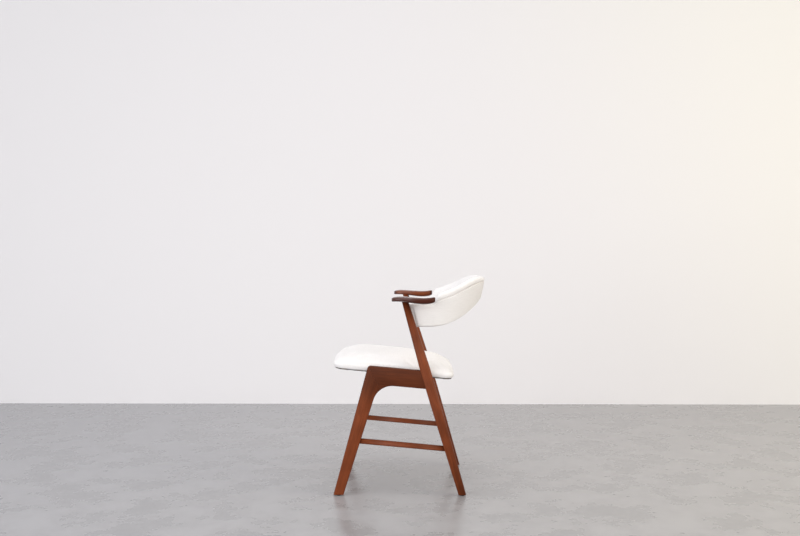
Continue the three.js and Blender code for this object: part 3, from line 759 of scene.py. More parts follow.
def subdivide(piece: Piece) -> None:
    """Smooths a piece with one level of a subdivision surface.

    Args:
        piece: The piece.
    """
    modifier = piece.modifiers.new("subdivision", "SUBSURF")
    modifier.levels = modifier.render_levels = 1
    apply_modifiers(piece)


@dataclass
class Stuffing:
    """Fills a closed shape by cloth simulation, so that its cover looks like stretched cloth."""

    voxel: float
    most: float
    pressure: float = 4.0
    frames: int = 20
    stiffness: float = 25.0

    def fill(self, piece: Piece, held: Callable[[Array], Array]) -> None:
        """Remeshes a piece, inflates it and carries its cloth coordinates over.

        Args:
            piece: A closed piece with a chart.
            held: Which of the given points the frame under the cover holds still.
        """
        source = piece.data
        remesh = piece.modifiers.new("remesh", "REMESH")
        remesh.mode = "VOXEL"
        remesh.voxel_size = self.voxel
        apply_modifiers(piece)
        start = points_of(piece.data)
        chart = carried_chart(source, start)
        move_points(piece.data, self.inflated(piece, start, held(start)))
        set_chart(piece.data, chart)

    def inflated(self, piece: Piece, start: Array, held: Array) -> Array:
        """Runs the simulation on a piece.

        Args:
            piece: The remeshed piece.
            start: Its vertices.
            held: Which of them stay where they are.

        Returns:
            The new vertices, none farther from its start than the most allowed.
        """
        group = piece.vertex_groups.new(name="held")
        group.add(np.flatnonzero(held).tolist(), 1.0, "REPLACE")
        cloth = piece.modifiers.new("cloth", "CLOTH")
        settings = cloth.settings
        settings.vertex_group_mass = group.name
        settings.use_pressure = True
        settings.uniform_pressure_force = self.pressure
        settings.tension_stiffness = settings.compression_stiffness = self.stiffness
        settings.effector_weights.gravity = 0.0
        scene = bpy.context.scene
        for step in range(1, self.frames + 1):
            scene.frame_set(step)
        moved = points_of(evaluated(piece)) - start
        piece.modifiers.remove(cloth)
        piece.vertex_groups.clear()
        scene.frame_set(1)
        length = np.linalg.norm(moved, axis=1, keepdims=True)
        return start + moved * np.minimum(1.0, self.most / np.maximum(length, 1e-9))


def carried_chart(source: Mesh, points: Array) -> Array:
    """Cloth coordinates of points, read from the nearest place of a mesh that has them.

    Args:
        source: A mesh with a chart.
        points: Points near its surface.

    Returns:
        One pair for each point.
    """
    work = bmesh.new()
    work.from_mesh(source)
    bmesh.ops.triangulate(work, faces=work.faces)
    layer = work.loops.layers.uv[CLOTH_MAP]
    work.faces.ensure_lookup_table()
    tree = BVHTree.FromBMesh(work)
    chart = np.zeros((len(points), 2))
    for i, point in enumerate(points):
        place, _, index, _ = tree.find_nearest(Vector(point))
        loops = work.faces[index].loops
        spokes = [loop.vert.co - place for loop in loops]
        shares = [spokes[k - 2].cross(spokes[k - 1]).length for k in range(3)]
        total = max(sum(shares), 1e-12)
        maps = [loop[layer].uv * (share / total) for loop, share in zip(loops, shares)]
        chart[i] = maps[0] + maps[1] + maps[2]
    work.free()
    return chart


def ease(t: Array | float) -> Array | float:
    """Rises from 0 to 1 with a soft start and end."""
    return np.sin(np.pi / 2 * np.clip(t, 0.0, 1.0)) ** 2


def quarter_round(t: Array) -> Array:
    """Rises from 0 to 1 along a quarter of a circle, steeply at first."""
    return np.sqrt(1 - (1 - np.clip(t, 0.0, 1.0)) ** 2)


def superellipse(t: Array, power: float) -> Array:
    """Falls from 1 to 0 along a quarter of a superellipse."""
    return (1 - t**power) ** (1 / power)


def bump_at(gap: Array, width: float) -> Array:
    """A bell of height 1 round a gap of 0."""
    return np.exp(-((gap / width) ** 2))


def at_height(flat: Array, height: Array | float) -> Array:
    """Points x 2 lifted to a height each."""
    return np.c_[flat, height + 0 * flat[:, 0]]


def mirrored(half: Array, about: float = 0.0) -> Array:
    """Rows from one side to the middle, followed by their mirror images on the other side.

    Args:
        half: Rows of points or pairs, the last of them in the middle; it is put exactly there.
        about: The first coordinate of the middle.

    Returns:
        The rows of both sides.
    """
    half[-1, ..., 0] = about
    other = half[-2::-1].copy()
    other[..., 0] = 2 * about - other[..., 0]
    return np.concatenate([half, other])


# ------------------------------------------------------------------ threads and staples
def arches_tree() -> bpy.types.GeometryNodeTree:
    """Geometry nodes that set small wire arches along a path, such as stitches or staples.

    Returns:
        The tree. The path is a line of mesh edges with a vector attribute that points out of
        the surface; each arch stands on the surface and follows the path.
    """
    tree = bpy.data.node_groups.new("arches_along_path", "GeometryNodeTree")
    sizes = ("Spacing", "Length", "Rise", "Radius", "Slant", "Unevenness")
    kinds = {"Path": "Geometry", "Seed": "Int", "Material": "Material"}
    kinds.update(dict.fromkeys(sizes, "Float"))
    for label, kind in kinds.items():
        tree.interface.new_socket(label, in_out="INPUT", socket_type=f"NodeSocket{kind}")
    tree.interface.new_socket("Arches", in_out="OUTPUT", socket_type="NodeSocketGeometry")
    w = Wiring(tree)
    given = w.node("NodeGroupInput").outputs

    curve = w.node("GeometryNodeMeshToCurve", {"Mesh": given["Path"]})
    even = w.node(
        "GeometryNodeResampleCurve", {"Curve": curve.outputs[0], "Length": given["Spacing"]},
        mode="LENGTH",
    )

    half = w.math("MULTIPLY", given["Length"], 0.5)
    back = w.math("MULTIPLY", half, -1.0)
    wire = w.node("GeometryNodeCurvePrimitiveBezierSegment", {
        "Resolution": ARCH_STEPS,
        "Start": w.join(back, 0.0, 0.0),
        "Start Handle": w.join(back, 0.0, given["Rise"]),
        "End Handle": w.join(half, 0.0, given["Rise"]),
        "End": w.join(half, 0.0, 0.0),
    }, mode="POSITION")
    ring = w.node(
        "GeometryNodeCurvePrimitiveCircle", {"Resolution": WIRE_SIDES, "Radius": given["Radius"]}
    )
    arch = w.node(
        "GeometryNodeCurveToMesh",
        {"Curve": wire.outputs[0], "Profile Curve": ring.outputs[0], "Fill Caps": True},
    )

    out = w.node("GeometryNodeInputNamedAttribute", {"Name": OUTWARDS}, data_type="FLOAT_VECTOR")
    tangent = w.node("GeometryNodeInputTangent").outputs[0]
    along = w.node("FunctionNodeAlignRotationToVector", {"Vector": tangent}, axis="X")
    upright = w.node(
        "FunctionNodeAlignRotationToVector",
        {"Rotation": along.outputs[0], "Vector": out.outputs[0]}, axis="Z", pivot_axis="X",
    )
    least = w.math("MULTIPLY", given["Unevenness"], -1.0)
    chance = w.node(
        "FunctionNodeRandomValue", {2: least, 3: given["Unevenness"], "Seed": given["Seed"]},
        data_type="FLOAT",
    )
    swing = w.join(0.0, 0.0, w.math("ADD", given["Slant"], chance.outputs[1]))
    turn = w.node(
        "FunctionNodeRotateRotation", {"Rotation": upright.outputs[0], "Rotate By": swing},
        rotation_space="LOCAL",
    )

    copies = w.node("GeometryNodeInstanceOnPoints", {
        "Points": even.outputs[0], "Instance": arch.outputs[0], "Rotation": turn.outputs[0],
    })
    real = w.node("GeometryNodeRealizeInstances", {0: copies.outputs[0]})
    coat = w.node(
        "GeometryNodeSetMaterial", {"Geometry": real.outputs[0], "Material": given["Material"]}
    )
    w.node("NodeGroupOutput", {"Arches": coat.outputs[0]})
    return tree


@dataclass(frozen=True)
class Arches:
    """Equal wire arches along a path: stitches of a thread or the crowns of staples."""

    spacing: float
    length: float
    rise: float
    radius: float
    slant: float = 0.0
    unevenness: float = 0.1
    seed: int = 7

    def along(
        self, name: str, path: Array, ways_out: Array, closed: bool, finish: Finish,
        shop: Workshop,
    ) -> Piece:
        """Makes the arches.

        Args:
            name: The new object's name.
            path: Points of the path.
            ways_out: The way out of the surface at each of them.
            closed: Whether the path's ends meet.
            finish: What the arches are made of.
            shop: The workshop with the materials and the tree.

        Returns:
            A plain mesh object.
        """
        count = len(path)
        edges = [(i, i + 1) for i in range(count - 1)] + ([(count - 1, 0)] if closed else [])
        mesh = bpy.data.meshes.new(name)
        mesh.from_pydata(path.tolist(), edges, [])
        set_vectors(mesh, OUTWARDS, ways_out)
        piece = link(name, mesh)
        modifier = piece.modifiers.new("arches", "NODES")
        modifier.node_group = shop.arches
        values = {label.capitalize(): value for label, value in vars(self).items()}
        values["Material"] = shop.materials[finish]
        for item in shop.arches.interface.items_tree:
            if item.name in values:
                modifier[item.identifier] = values[item.name]
        apply_modifiers(piece)
        smooth(piece.data, 60.0)
        return piece


# ------------------------------------------------------------------ side frames
@dataclass
class SideFrame:
    """Front leg, rail, rear leg, stretcher and glides of one side."""

    side: Side
    leg_rake: float = 16.2
    front_rake: float = 16.0
    rail_fall: float = 5.1

    def grain_of(self, piece: str) -> Point:
        """The direction of the grain in a piece of the frame.

        Args:
            piece: The piece, as its node names it after the side.

        Returns:
            A direction of length 1.
        """
        if piece in ("side_rail", "stretcher"):
            fall = math.radians(self.rail_fall)
            return (0.0, math.cos(fall), -math.sin(fall))
        lean = math.radians(self.front_rake if piece == "front_leg" else -self.leg_rake)
        return (0.0, math.sin(lean), math.cos(lean))

    def build(self, shop: Workshop) -> None:
        """Makes the pieces of the frame and dresses its glides, dowels and screws.

        Args:
            shop: The workshop with the materials.
        """
        word = self.side.word
        for number, piece in enumerate(("front_leg", "side_rail", "rear_leg", "stretcher")):
            node = f"{word}_{piece}"
            made = copy_of(node)
            set_grain(made.data, self.grain_of(piece), 2.0 * number + self.side.value)
            # The front leg and side rail get painted shade under the seat's edge.
            shaded_under_seat = piece in ("front_leg", "side_rail")
            shop.deliver(made, Finish.SIDE_TEAK if shaded_under_seat else Finish.TEAK, [node])
        for glide in ("front_glide", "rear_glide"):
            shop.dress_node(f"{word}_{glide}", Finish.NYLON)
        for kind, finish in (("dowel", Finish.BEECH), ("screw", Finish.ZINC)):
            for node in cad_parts:
                if node.startswith(word) and kind in node:
                    shop.dress_node(node, finish)


@dataclass
class Armrest:
    """A short paddle with a waved line and a superelliptic section."""

    side: Side
    length: float = 145 * MM
    half_width: float = 36 * MM
    splay: float = 4 * MM
    narrowing: float = 0.2
    thickness: float = 17.2 * MM
    raised: float = 1.9 * MM
    front_reach: float = 2 * MM
    thickening: float = 0.3
    tip_thinning: float = 0.28
    edge_power: float = 2.6
    front_drop: float = 1.5 * MM
    rear_drop: float = 0.5 * MM
    dip: float = 5.5 * MM
    dip_place: float = 0.66
    leg_place: float = 43 / 145
    blunt: float = 3e-4
    stations: int = 72
    around: int = 40

    def wave(self, t: Array) -> Array:
        """Height of the middle line over its place at the leg, at shares of the length.

        Args:
            t: Shares of the length.

        Returns:
            Heights.
        """
        knots = np.array([0.0, self.leg_place, self.dip_place, 1.0])
        heights = np.array([-self.front_drop, 0.0, -self.dip, -self.rear_drop])
        matrix = np.vander(knots, 4)
        return np.vander(t, 4) @ np.linalg.solve(matrix, heights)

    def build(self, shop: Workshop) -> None:
        """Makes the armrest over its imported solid.

        Args:
            shop: The workshop with the materials.
        """
        node = f"{self.side.word}_armrest"
        low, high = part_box(node)
        t = (1 - np.cos(np.linspace(0.0, np.pi, self.stations))) / 2
        t = np.clip(t, self.blunt, 1 - self.blunt)[:, None]
        roundness = superellipse(np.abs(2 * t - 1), self.edge_power)
        half = self.half_width * roundness * (1 - self.narrowing * t)
        thick = self.thickness * roundness**self.tip_thinning * (1 + self.thickening * t) / 2
        angle = np.linspace(0.0, 2 * np.pi, self.around, endpoint=False)[None, :]
        round_places = np.array([np.cos(angle), np.sin(angle)])
        across, up = np.sign(round_places) * np.abs(round_places) ** (2 / self.edge_power)
        height = self.wave(t[:, 0])[:, None] + thick * up
        along = (self.length + self.front_reach) * t - self.front_reach + 0 * angle
        centre = (low.x + high.x) / 2 - self.side.value * self.splay / 2
        rings = np.stack([
            centre + self.side.value * (half * across + self.splay * t),
            low.y + along,
            height - height.max() + high.z + self.raised,
        ], axis=-1)
        mesh = loft(f"{node}_wood", rings)
        smooth(mesh, 50.0)
        set_grain(mesh, (0.0, 1.0, 0.0), 11.0 + self.side.value)
        shop.deliver(link(f"{node}_wood", mesh), Finish.ARM_TEAK, [node])


# ------------------------------------------------------------------ seat
def rounded_outline(corners: Sequence[tuple[float, float, float]], count: int) -> Array:
    """A closed polygon with rounded corners.

    Args:
        corners: Each corner's x, y and radius, in order.
        count: How many points the outline gets, evenly spaced.

    Returns:
        Points x 2.
    """
    places = np.array([corner[:2] for corner in corners])
    drawn = []
    for i, (_, _, radius) in enumerate(corners):
        here = places[i]
        before = places[i - 1] - here
        after = places[(i + 1) % len(corners)] - here
        before /= np.linalg.norm(before)
        after /= np.linalg.norm(after)
        half_angle = math.acos(float(np.clip(before @ after, -1.0, 1.0))) / 2
        inwards = (before + after) / np.linalg.norm(before + after)
        middle = here + inwards * radius / math.sin(half_angle)
        first = here + before * radius / math.tan(half_angle) - middle
        last = here + after * radius / math.tan(half_angle) - middle
        start = math.atan2(first[1], first[0])
        sweep = (math.atan2(last[1], last[0]) - start + math.pi) % (2 * math.pi) - math.pi
        for share in np.linspace(0.0, 1.0, 24):
            angle = start + sweep * share
            drawn.append(middle + radius * np.array([math.cos(angle), math.sin(angle)]))
    line = np.array(drawn + drawn[:1])
    reach = np.concatenate([[0.0], np.cumsum(np.linalg.norm(np.diff(line, axis=0), axis=1))])
    even = np.linspace(0.0, reach[-1], count, endpoint=False)
    return np.stack([np.interp(even, reach, values) for values in line.T], axis=-1)


# The dust cloth's section as shares of the way out and heights in mm: out over it, round its
# folded border and back below it. The cloth is a real dust cover; its black border, brought out
# to the seat's edge, is painted shade along the seat's lower edge.
DUST_SECTION = (
    (0.05, 1.1), (0.3, 1.1), (0.6, 1.1), (0.85, 1.1), (0.955, 1.15), (0.968, 1.9), (0.99, 2.9),
    (0.998, 2.8), (1.0, 2.2), (0.997, 1.5), (0.985, 1.0), (0.95, 0.3), (0.85, 0.2), (0.6, 0.25),
    (0.3, 0.2), (0.05, 0.2),
)


@dataclass
class Seat:
    """The upholstered seat between the frames, with the rails, board and dust cover under it.

    Its points are made in the seat's own level frame, with the underside at z = 0.
    """

    tilt: float = 5.5
    front: float = -265 * MM
    rear: float = 154 * MM
    front_bow: float = 12 * MM
    rear_bow: float = 5 * MM
    rear_taper: float = 9 * MM
    taper_start: float = 60 * MM
    taper_round: float = 300 * MM
    front_round: float = 36 * MM
    rear_round: float = 24 * MM
    hem: float = 4 * MM
    hem_height: float = 3 * MM
    side_height: float = 15 * MM
    crown: float = 61 * MM
    rear_fall: float = 8 * MM
    fall_start: float = -30 * MM
    front_power: float = 2.4
    side_power: float = 2.8
    rear_power: float = 2.5
    fuller_front: float = 4.5 * MM
    fuller_rear: float = 5 * MM
    over_rail: float = 3.5 * MM
    crease_depth: float = 2.8 * MM
    crease_front: Pair = (-22 * MM, 52 * MM)
    crease_rear: Pair = (32 * MM, 27 * MM)
    crease_width: float = 5 * MM
    crease_drop: float = 0.7
    swell_rear: float = 16 * MM
    swell_fade: float = 34 * MM
    swell_low: float = 24 * MM
    swell_rise: float = 9 * MM
    leg_notch: float = 2.5 * MM
    leg_place: float = 44 * MM
    leg_spread: float = 15 * MM
    puckers: float = 0.9 * MM
    pucker_height: float = 14 * MM
    cloth_wave: float = 0.55 * MM
    edge_wave: float = 0.003
    packed_front: Pair = (0.75 * MM, 4.3 * MM)
    packed_rear: float = 3 * MM
    cloth_inset: float = 2.2 * MM
    staple_inset: float = 9 * MM
    staple_height: float = 0.25 * MM
    staples: Arches = Arches(
        26 * MM, 10 * MM, 0.55 * MM, 0.35 * MM, slant=0.12, unevenness=0.2, seed=3
    )
    rings: int = 26
    around: int = 240

    def __post_init__(self) -> None:
        """Reads the seat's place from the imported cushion."""
        low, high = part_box("seat_cushion")
        self.slope = math.radians(self.tilt)
        self.half_width = high.x
        c, s = math.cos(self.slope), math.sin(self.slope)
        behind, above = self.packed_front
        self.shift = low.y - (self.front + behind) * c - above * s
        self.base = low.z + (self.rear - self.packed_rear) * s
        self.middle = (self.front + self.rear) / 2

    def outline(self, inset: float) -> Array:
        """The outline from above, drawn in by an inset.

        Args:
            inset: How far it is drawn in.

        Returns:
            Points x 2.
        """
        side = self.half_width - inset
        rear_side = side - self.rear_taper
        front, rear = self.front + inset, self.rear - inset
        right = [
            (side, front, self.front_round - inset),
            (side, self.taper_start, self.taper_round),
            (rear_side, rear, self.rear_round - inset),
        ]
        left = [(-x, y, radius) for x, y, radius in reversed(right)]
        x, y = rounded_outline(right + left, self.around).T
        bow = np.where(y < 0, self.front_bow * y / front, -self.rear_bow * y / rear)
        return np.c_[x, y + bow * (x / side) ** 2]

    def crown_at(self, y: Array) -> Array:
        """Height of the dome along the middle."""
        back = np.clip((y - self.fall_start) / (self.rear - self.fall_start), 0.0, 1.0)
        return self.crown - self.rear_fall * back

    def shape(self) -> Mesh:
        """The cushion before it is stuffed.

        Returns:
            The closed mesh with its cloth coordinates, in the level frame.
        """
        outer = self.outline(0.0)
        half = (self.rear - self.front) / 2
        toward = (outer[:, 1] - self.middle) / half
        to_front, to_rear = np.clip(-toward, 0.0, 1.0) ** 4, np.clip(toward, 0.0, 1.0) ** 4
        power = (
            self.side_power + (self.front_power - self.side_power) * to_front
            + (self.rear_power - self.side_power) * to_rear
        )
        outer[:, 1] += self.fuller_rear * to_rear - self.fuller_front * to_front
        side = self.side_height
        rings = []
        for turn in np.linspace(math.pi / 2, 0.0, 5):
            share = math.cos(turn)
            ring = self.outline(self.hem) * (1 - share) + outer * share
            rings.append(at_height(ring, side - (side - self.hem_height) * math.sin(turn)))
        for share in np.cos(np.linspace(0.0, np.pi / 2, self.rings))[1:-1]:
            y = self.middle + (outer[:, 1] - self.middle) * share
            height = side + (self.crown_at(y) - side) * superellipse(share, power)
            rings.append(np.c_[outer[:, 0] * share, y, height])
        stack = np.array(rings)
        steps = np.linalg.norm(np.diff(stack, axis=0), axis=2)
        innermost = np.linalg.norm(stack[-1] - stack[-1].mean(axis=0), axis=1)
        reach = np.vstack([np.cumsum(steps[::-1], axis=0)[::-1], np.zeros((1, self.around))])
        reach += innermost
        heading = outer - np.array([0.0, self.middle])
        heading /= np.linalg.norm(heading, axis=1, keepdims=True)
        return loft("seat_cushion_wool", stack, reach[:, :, None] * heading[None, :, :])

    def creased(self, points: Array) -> Array:
        """Lets the sides swell over the rails, and folds them in ahead of the rear legs.

        Args:
            points: Points of the cushion in the seat's level frame.

        Returns:
            The moved points.
        """
        x, y, z = points.T
        side = np.clip(np.abs(x) / self.half_width, 0.0, 1.0) ** 6
        (front_y, front_z), (rear_y, rear_z) = self.crease_front, self.crease_rear
        run = np.array([rear_y - front_y, rear_z - front_z])
        along = ((y - front_y) * run[0] + (z - front_z) * run[1]) / (run @ run)
        off = ((y - front_y) * run[1] - (z - front_z) * run[0]) / np.linalg.norm(run)
        front_fade, rear_fade = ease((along + 0.25) / 0.6), ease((1.35 - along) / 0.3)
        fades = front_fade * rear_fade
        side_fold = np.clip((np.abs(x) / self.half_width - 0.55) / 0.3, 0.0, 1.0)
        depth = self.crease_depth * bump_at(off, self.crease_width) * fades * side_fold
        ahead = ease((self.swell_rear - y) / self.swell_fade)
        swell = self.over_rail * ahead * ease((z - self.swell_low) / self.swell_rise) * side
        notch = self.leg_notch * bump_at(y - self.leg_place, self.leg_spread) * side
        return np.c_[x + np.sign(x) * (swell - depth - notch), y, z - self.crease_drop * depth]

    def puckered(self, points: Array) -> Array:
        """Pulls the lower edge in a little between the staples under the seat.

        Args:
            points: Points of the cushion in the seat's level frame.

        Returns:
            The moved points.
        """
        x, y, z = points.T
        near = np.clip(1 - z / self.pucker_height, 0.0, 1.0)
        short = np.sin(x / (7 * MM)) * np.sin(y / (6.3 * MM) + 1.0)
        wide = 0.4 * np.sin(y / (15 * MM) + x / (19 * MM))
        return np.c_[x, y, z + self.puckers * (short + wide) * near]

    def placed(self, points: Array) -> Array:
        """Tilts points from the seat's level frame into the chair's.

        Args:
            points: Points in the seat's level frame.

        Returns:
            The points in the chair's frame.
        """
        x, y, z = points.T
        c, s = math.cos(self.slope), math.sin(self.slope)
        return np.c_[x, y * c + z * s + self.shift, self.base - y * s + z * c]

    def dust_cloth(self) -> tuple[Mesh, float]:
        """The black cloth under the seat, with a folded and slightly wavy border that shows as
        painted shade.

        Returns:
            The mesh and the cloth's area.
        """
        edge = self.outline(self.cloth_inset)
        turn = np.linspace(0.0, 2 * np.pi, self.around, endpoint=False)
        wave = 0.5 * np.sin(31 * turn) + 0.35 * np.sin(53 * turn + 1.0)
        wave += 0.3 * np.sin(17 * turn + 2.0)
        edge = edge * (1 - self.edge_wave * wave[:, None])
        middle = np.array([0.0, self.middle])
        rings = np.array([
            at_height(
                middle + (edge - middle) * share, height * MM + self.cloth_wave * wave * share**60
            )
            for share, height in DUST_SECTION
        ])
        mesh = loft("seat_dust_cloth", self.placed(rings.reshape(-1, 3)).reshape(rings.shape))
        turned = np.roll(edge, -1, axis=0)
        doubled = np.sum(edge[:, 0] * turned[:, 1] - turned[:, 0] * edge[:, 1])
        return mesh, abs(float(doubled)) / 2

    def build(self, shop: Workshop) -> None:
        """Makes the cushion, dust cloth and staples, and dresses what carries them.

        Args:
            shop: The workshop with the materials.
        """
        piece = link("seat_cushion_wool", self.shape())
        nailed = 1.2 * self.side_height
        Stuffing(voxel=5 * MM, most=3.5 * MM).fill(piece, lambda points: points[:, 2] < nailed)
        points = self.puckered(self.creased(points_of(piece.data)))
        move_points(piece.data, self.placed(points))
        subdivide(piece)
        smooth(piece.data, 70.0)
        shop.deliver(piece, Finish.WOOL, ["seat_cushion"])

        # The dust cloth's black border, out at the seat's edge, is partly painted shade under the
        # cushion.
        mesh, area = self.dust_cloth()
        smooth(mesh, 50.0)
        cloth = link("seat_dust_cloth", mesh)
        shop.deliver(cloth, Finish.DUST_CLOTH, ["seat_dust_cover"])
        path = at_height(self.outline(self.staple_inset), self.staple_height)
        below = self.placed(np.array([[0.0, 0.0, -1.0]]))[0] - self.placed(np.zeros((1, 3)))[0]
        staples = self.staples.along(
            "dust_cloth_staples", self.placed(path), np.tile(below, (self.around, 1)), True,
            Finish.STAPLE, shop,
        )
        shop.deliver(staples, Finish.STAPLE)

        for node, grain in (("front_cross_rail", 21.0), ("rear_cross_rail", 23.0)):
            rail = copy_of(node)
            set_grain(rail.data, (1.0, 0.0, 0.0), grain)
            shop.deliver(rail, Finish.TEAK, [node])
        shop.dress_node("seat_board", Finish.PLYWOOD)
        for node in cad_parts:
            if node.startswith("seat_screw"):
                shop.dress_node(node, Finish.ZINC)


# ------------------------------------------------------------------ back
@dataclass
class BackCurve:
    """The outer face of the back: its course from above, its lean and its upper and lower edge."""

    rake: float = 16.5
    wing_lap: float = 2 * MM
    wing_depth: float = 79 * MM
    centre_depth: float = 77 * MM
    end_inset: float = 11 * MM
    bottom_rise_start: float = 0.27
    top_rise_start: float = 0.19
    top_rise_end: float = 0.82
    step: float = 20 * MM
    step_start: float = 0.265
    step_end: float = 0.335
    slant_hold: float = 0.1
    slant_end: float = 0.3
    shoulder_ahead: float = 24 * MM
    rear_behind: float = 74.5 * MM
    fullness: float = 0.625
    lean: float = 12.0
    cover_above: float = 0.4 * MM
    cover_beside: float = 0.1 * MM
    glide_middle: float = 3 * MM
    leg_low: float = 443 * MM
    leg_low_width: float = 35.5 * MM
    leg_narrowing: float = 14 / 224
    probe: float = 1 * MM
    samples: int = 600

    def __post_init__(self) -> None:
        """Reads the back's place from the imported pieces, and draws its course from above."""
        self.rake_slope = math.tan(math.radians(self.rake))
        self.lean_slope = math.tan(math.radians(self.lean))
        cushion_low, cushion_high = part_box("back_cushion")
        panel_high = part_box("back_outer_panel")[1]
        glide_low, glide_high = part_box("left_rear_glide")
        self.wing_bottom = cushion_low.z
        self.wing_top = self.wing_bottom + self.wing_depth
        self.centre_top = cushion_high.z + self.cover_above
        self.centre_bottom = self.centre_top - self.centre_depth
        self.foot = (glide_low.y + glide_high.y) / 2
        self.foot += self.glide_middle * self.rake_slope
        wing_x = panel_high.x + self.cover_beside
        start = self.front_edge(self.wing_top) - self.end_inset
        straight = self.leg_axis(self.wing_bottom) + self.leg_width(self.wing_bottom) / 2
        shoulder = self.foot - self.shoulder_ahead
        rear = self.foot + self.rear_behind
        t = np.linspace(0.0, 1.0, self.samples)[:, None]
        corners = np.array(
            [[wing_x, straight], [wing_x, shoulder], [wing_x * self.fullness, rear], [0.0, rear]]
        )
        weights = [math.comb(3, i) * t**i * (1 - t) ** (3 - i) for i in range(4)]
        bend = np.hstack(weights) @ corners
        line = np.array([[wing_x, start]]) + t * np.array([[0.0, straight - start]])
        self.course = np.vstack([line[:-1], bend])
        step = np.linalg.norm(np.diff(self.course, axis=0), axis=1)
        self.distance = np.concatenate([[0.0], np.cumsum(step)])
        self.length = self.distance[-1]
        self.wing_start = start

    def leg_axis(self, z: float) -> float:
        """Y of the rear leg's axis at a height."""
        return self.foot - z * self.rake_slope

    def leg_width(self, z: Array | float) -> Array | float:
        """The rear leg's level width at a height above the rail."""
        return self.leg_low_width - self.leg_narrowing * (z - self.leg_low)

    def front_edge(self, z: Array | float) -> Array | float:
        """Y of the wing's front end at a height."""
        return self.leg_axis(z) - self.leg_width(z) / 2 + self.wing_lap

    def past_armrest(self, share: Array) -> Array:
        """Rises from 0 beside the armrest to 1 behind it."""
        return ease((share - self.step_start) / (self.step_end - self.step_start))

    def edges(self, share: Array) -> tuple[Array, Array]:
        """Lower and upper edge at shares of the way from the wing's end to the middle.

        Args:
            share: Shares of the way from the wing's end to the middle.

        Returns:
            Heights of the lower and the upper edge.
        """
        low = ease((share - self.bottom_rise_start) / (1 - self.bottom_rise_start))
        high = ease((share - self.top_rise_start) / (self.top_rise_end - self.top_rise_start))
        bottom = self.wing_bottom + (self.centre_bottom - self.wing_bottom) * low
        top = self.wing_top + (self.centre_top - self.step - self.wing_top) * high
        return bottom, top + self.step * self.past_armrest(share)

    def slant(self, share: Array, z: Array) -> Array:
        """How far the wing's leaning end moves the points near it along the course."""
        upright = np.clip((self.slant_end - share) / (self.slant_end - self.slant_hold), 0.0, 1.0)
        return (self.front_edge(z) - self.wing_start) * upright

    def on_course(self, distance: Array) -> Array:
        """X and Y of the course at distances along it."""
        return np.array([np.interp(distance, self.distance, line) for line in self.course.T])

    def point(self, share: Array, z: Array, outwards_by: Array) -> Array:
        """Points of the back on the +X side.

        Args:
            share: Shares of the way from the wing's end to the middle.
            z: Heights.
            outwards_by: Distances out of the outer face.

        Returns:
            Points, with the same shape as the inputs and a last axis of three.
        """
        place = share * self.length + self.slant(share, z)
        x, y = self.on_course(place)
        tx, ty = self.on_course(place + self.probe) - self.on_course(place - self.probe)
        size = np.hypot(tx, ty)
        tx, ty = tx / size, ty / size
        reach = outwards_by + (z - self.centre_bottom) * self.lean_slope * ease(share)
        return np.stack([x + ty * reach, y - tx * reach, z + 0 * x], axis=-1)


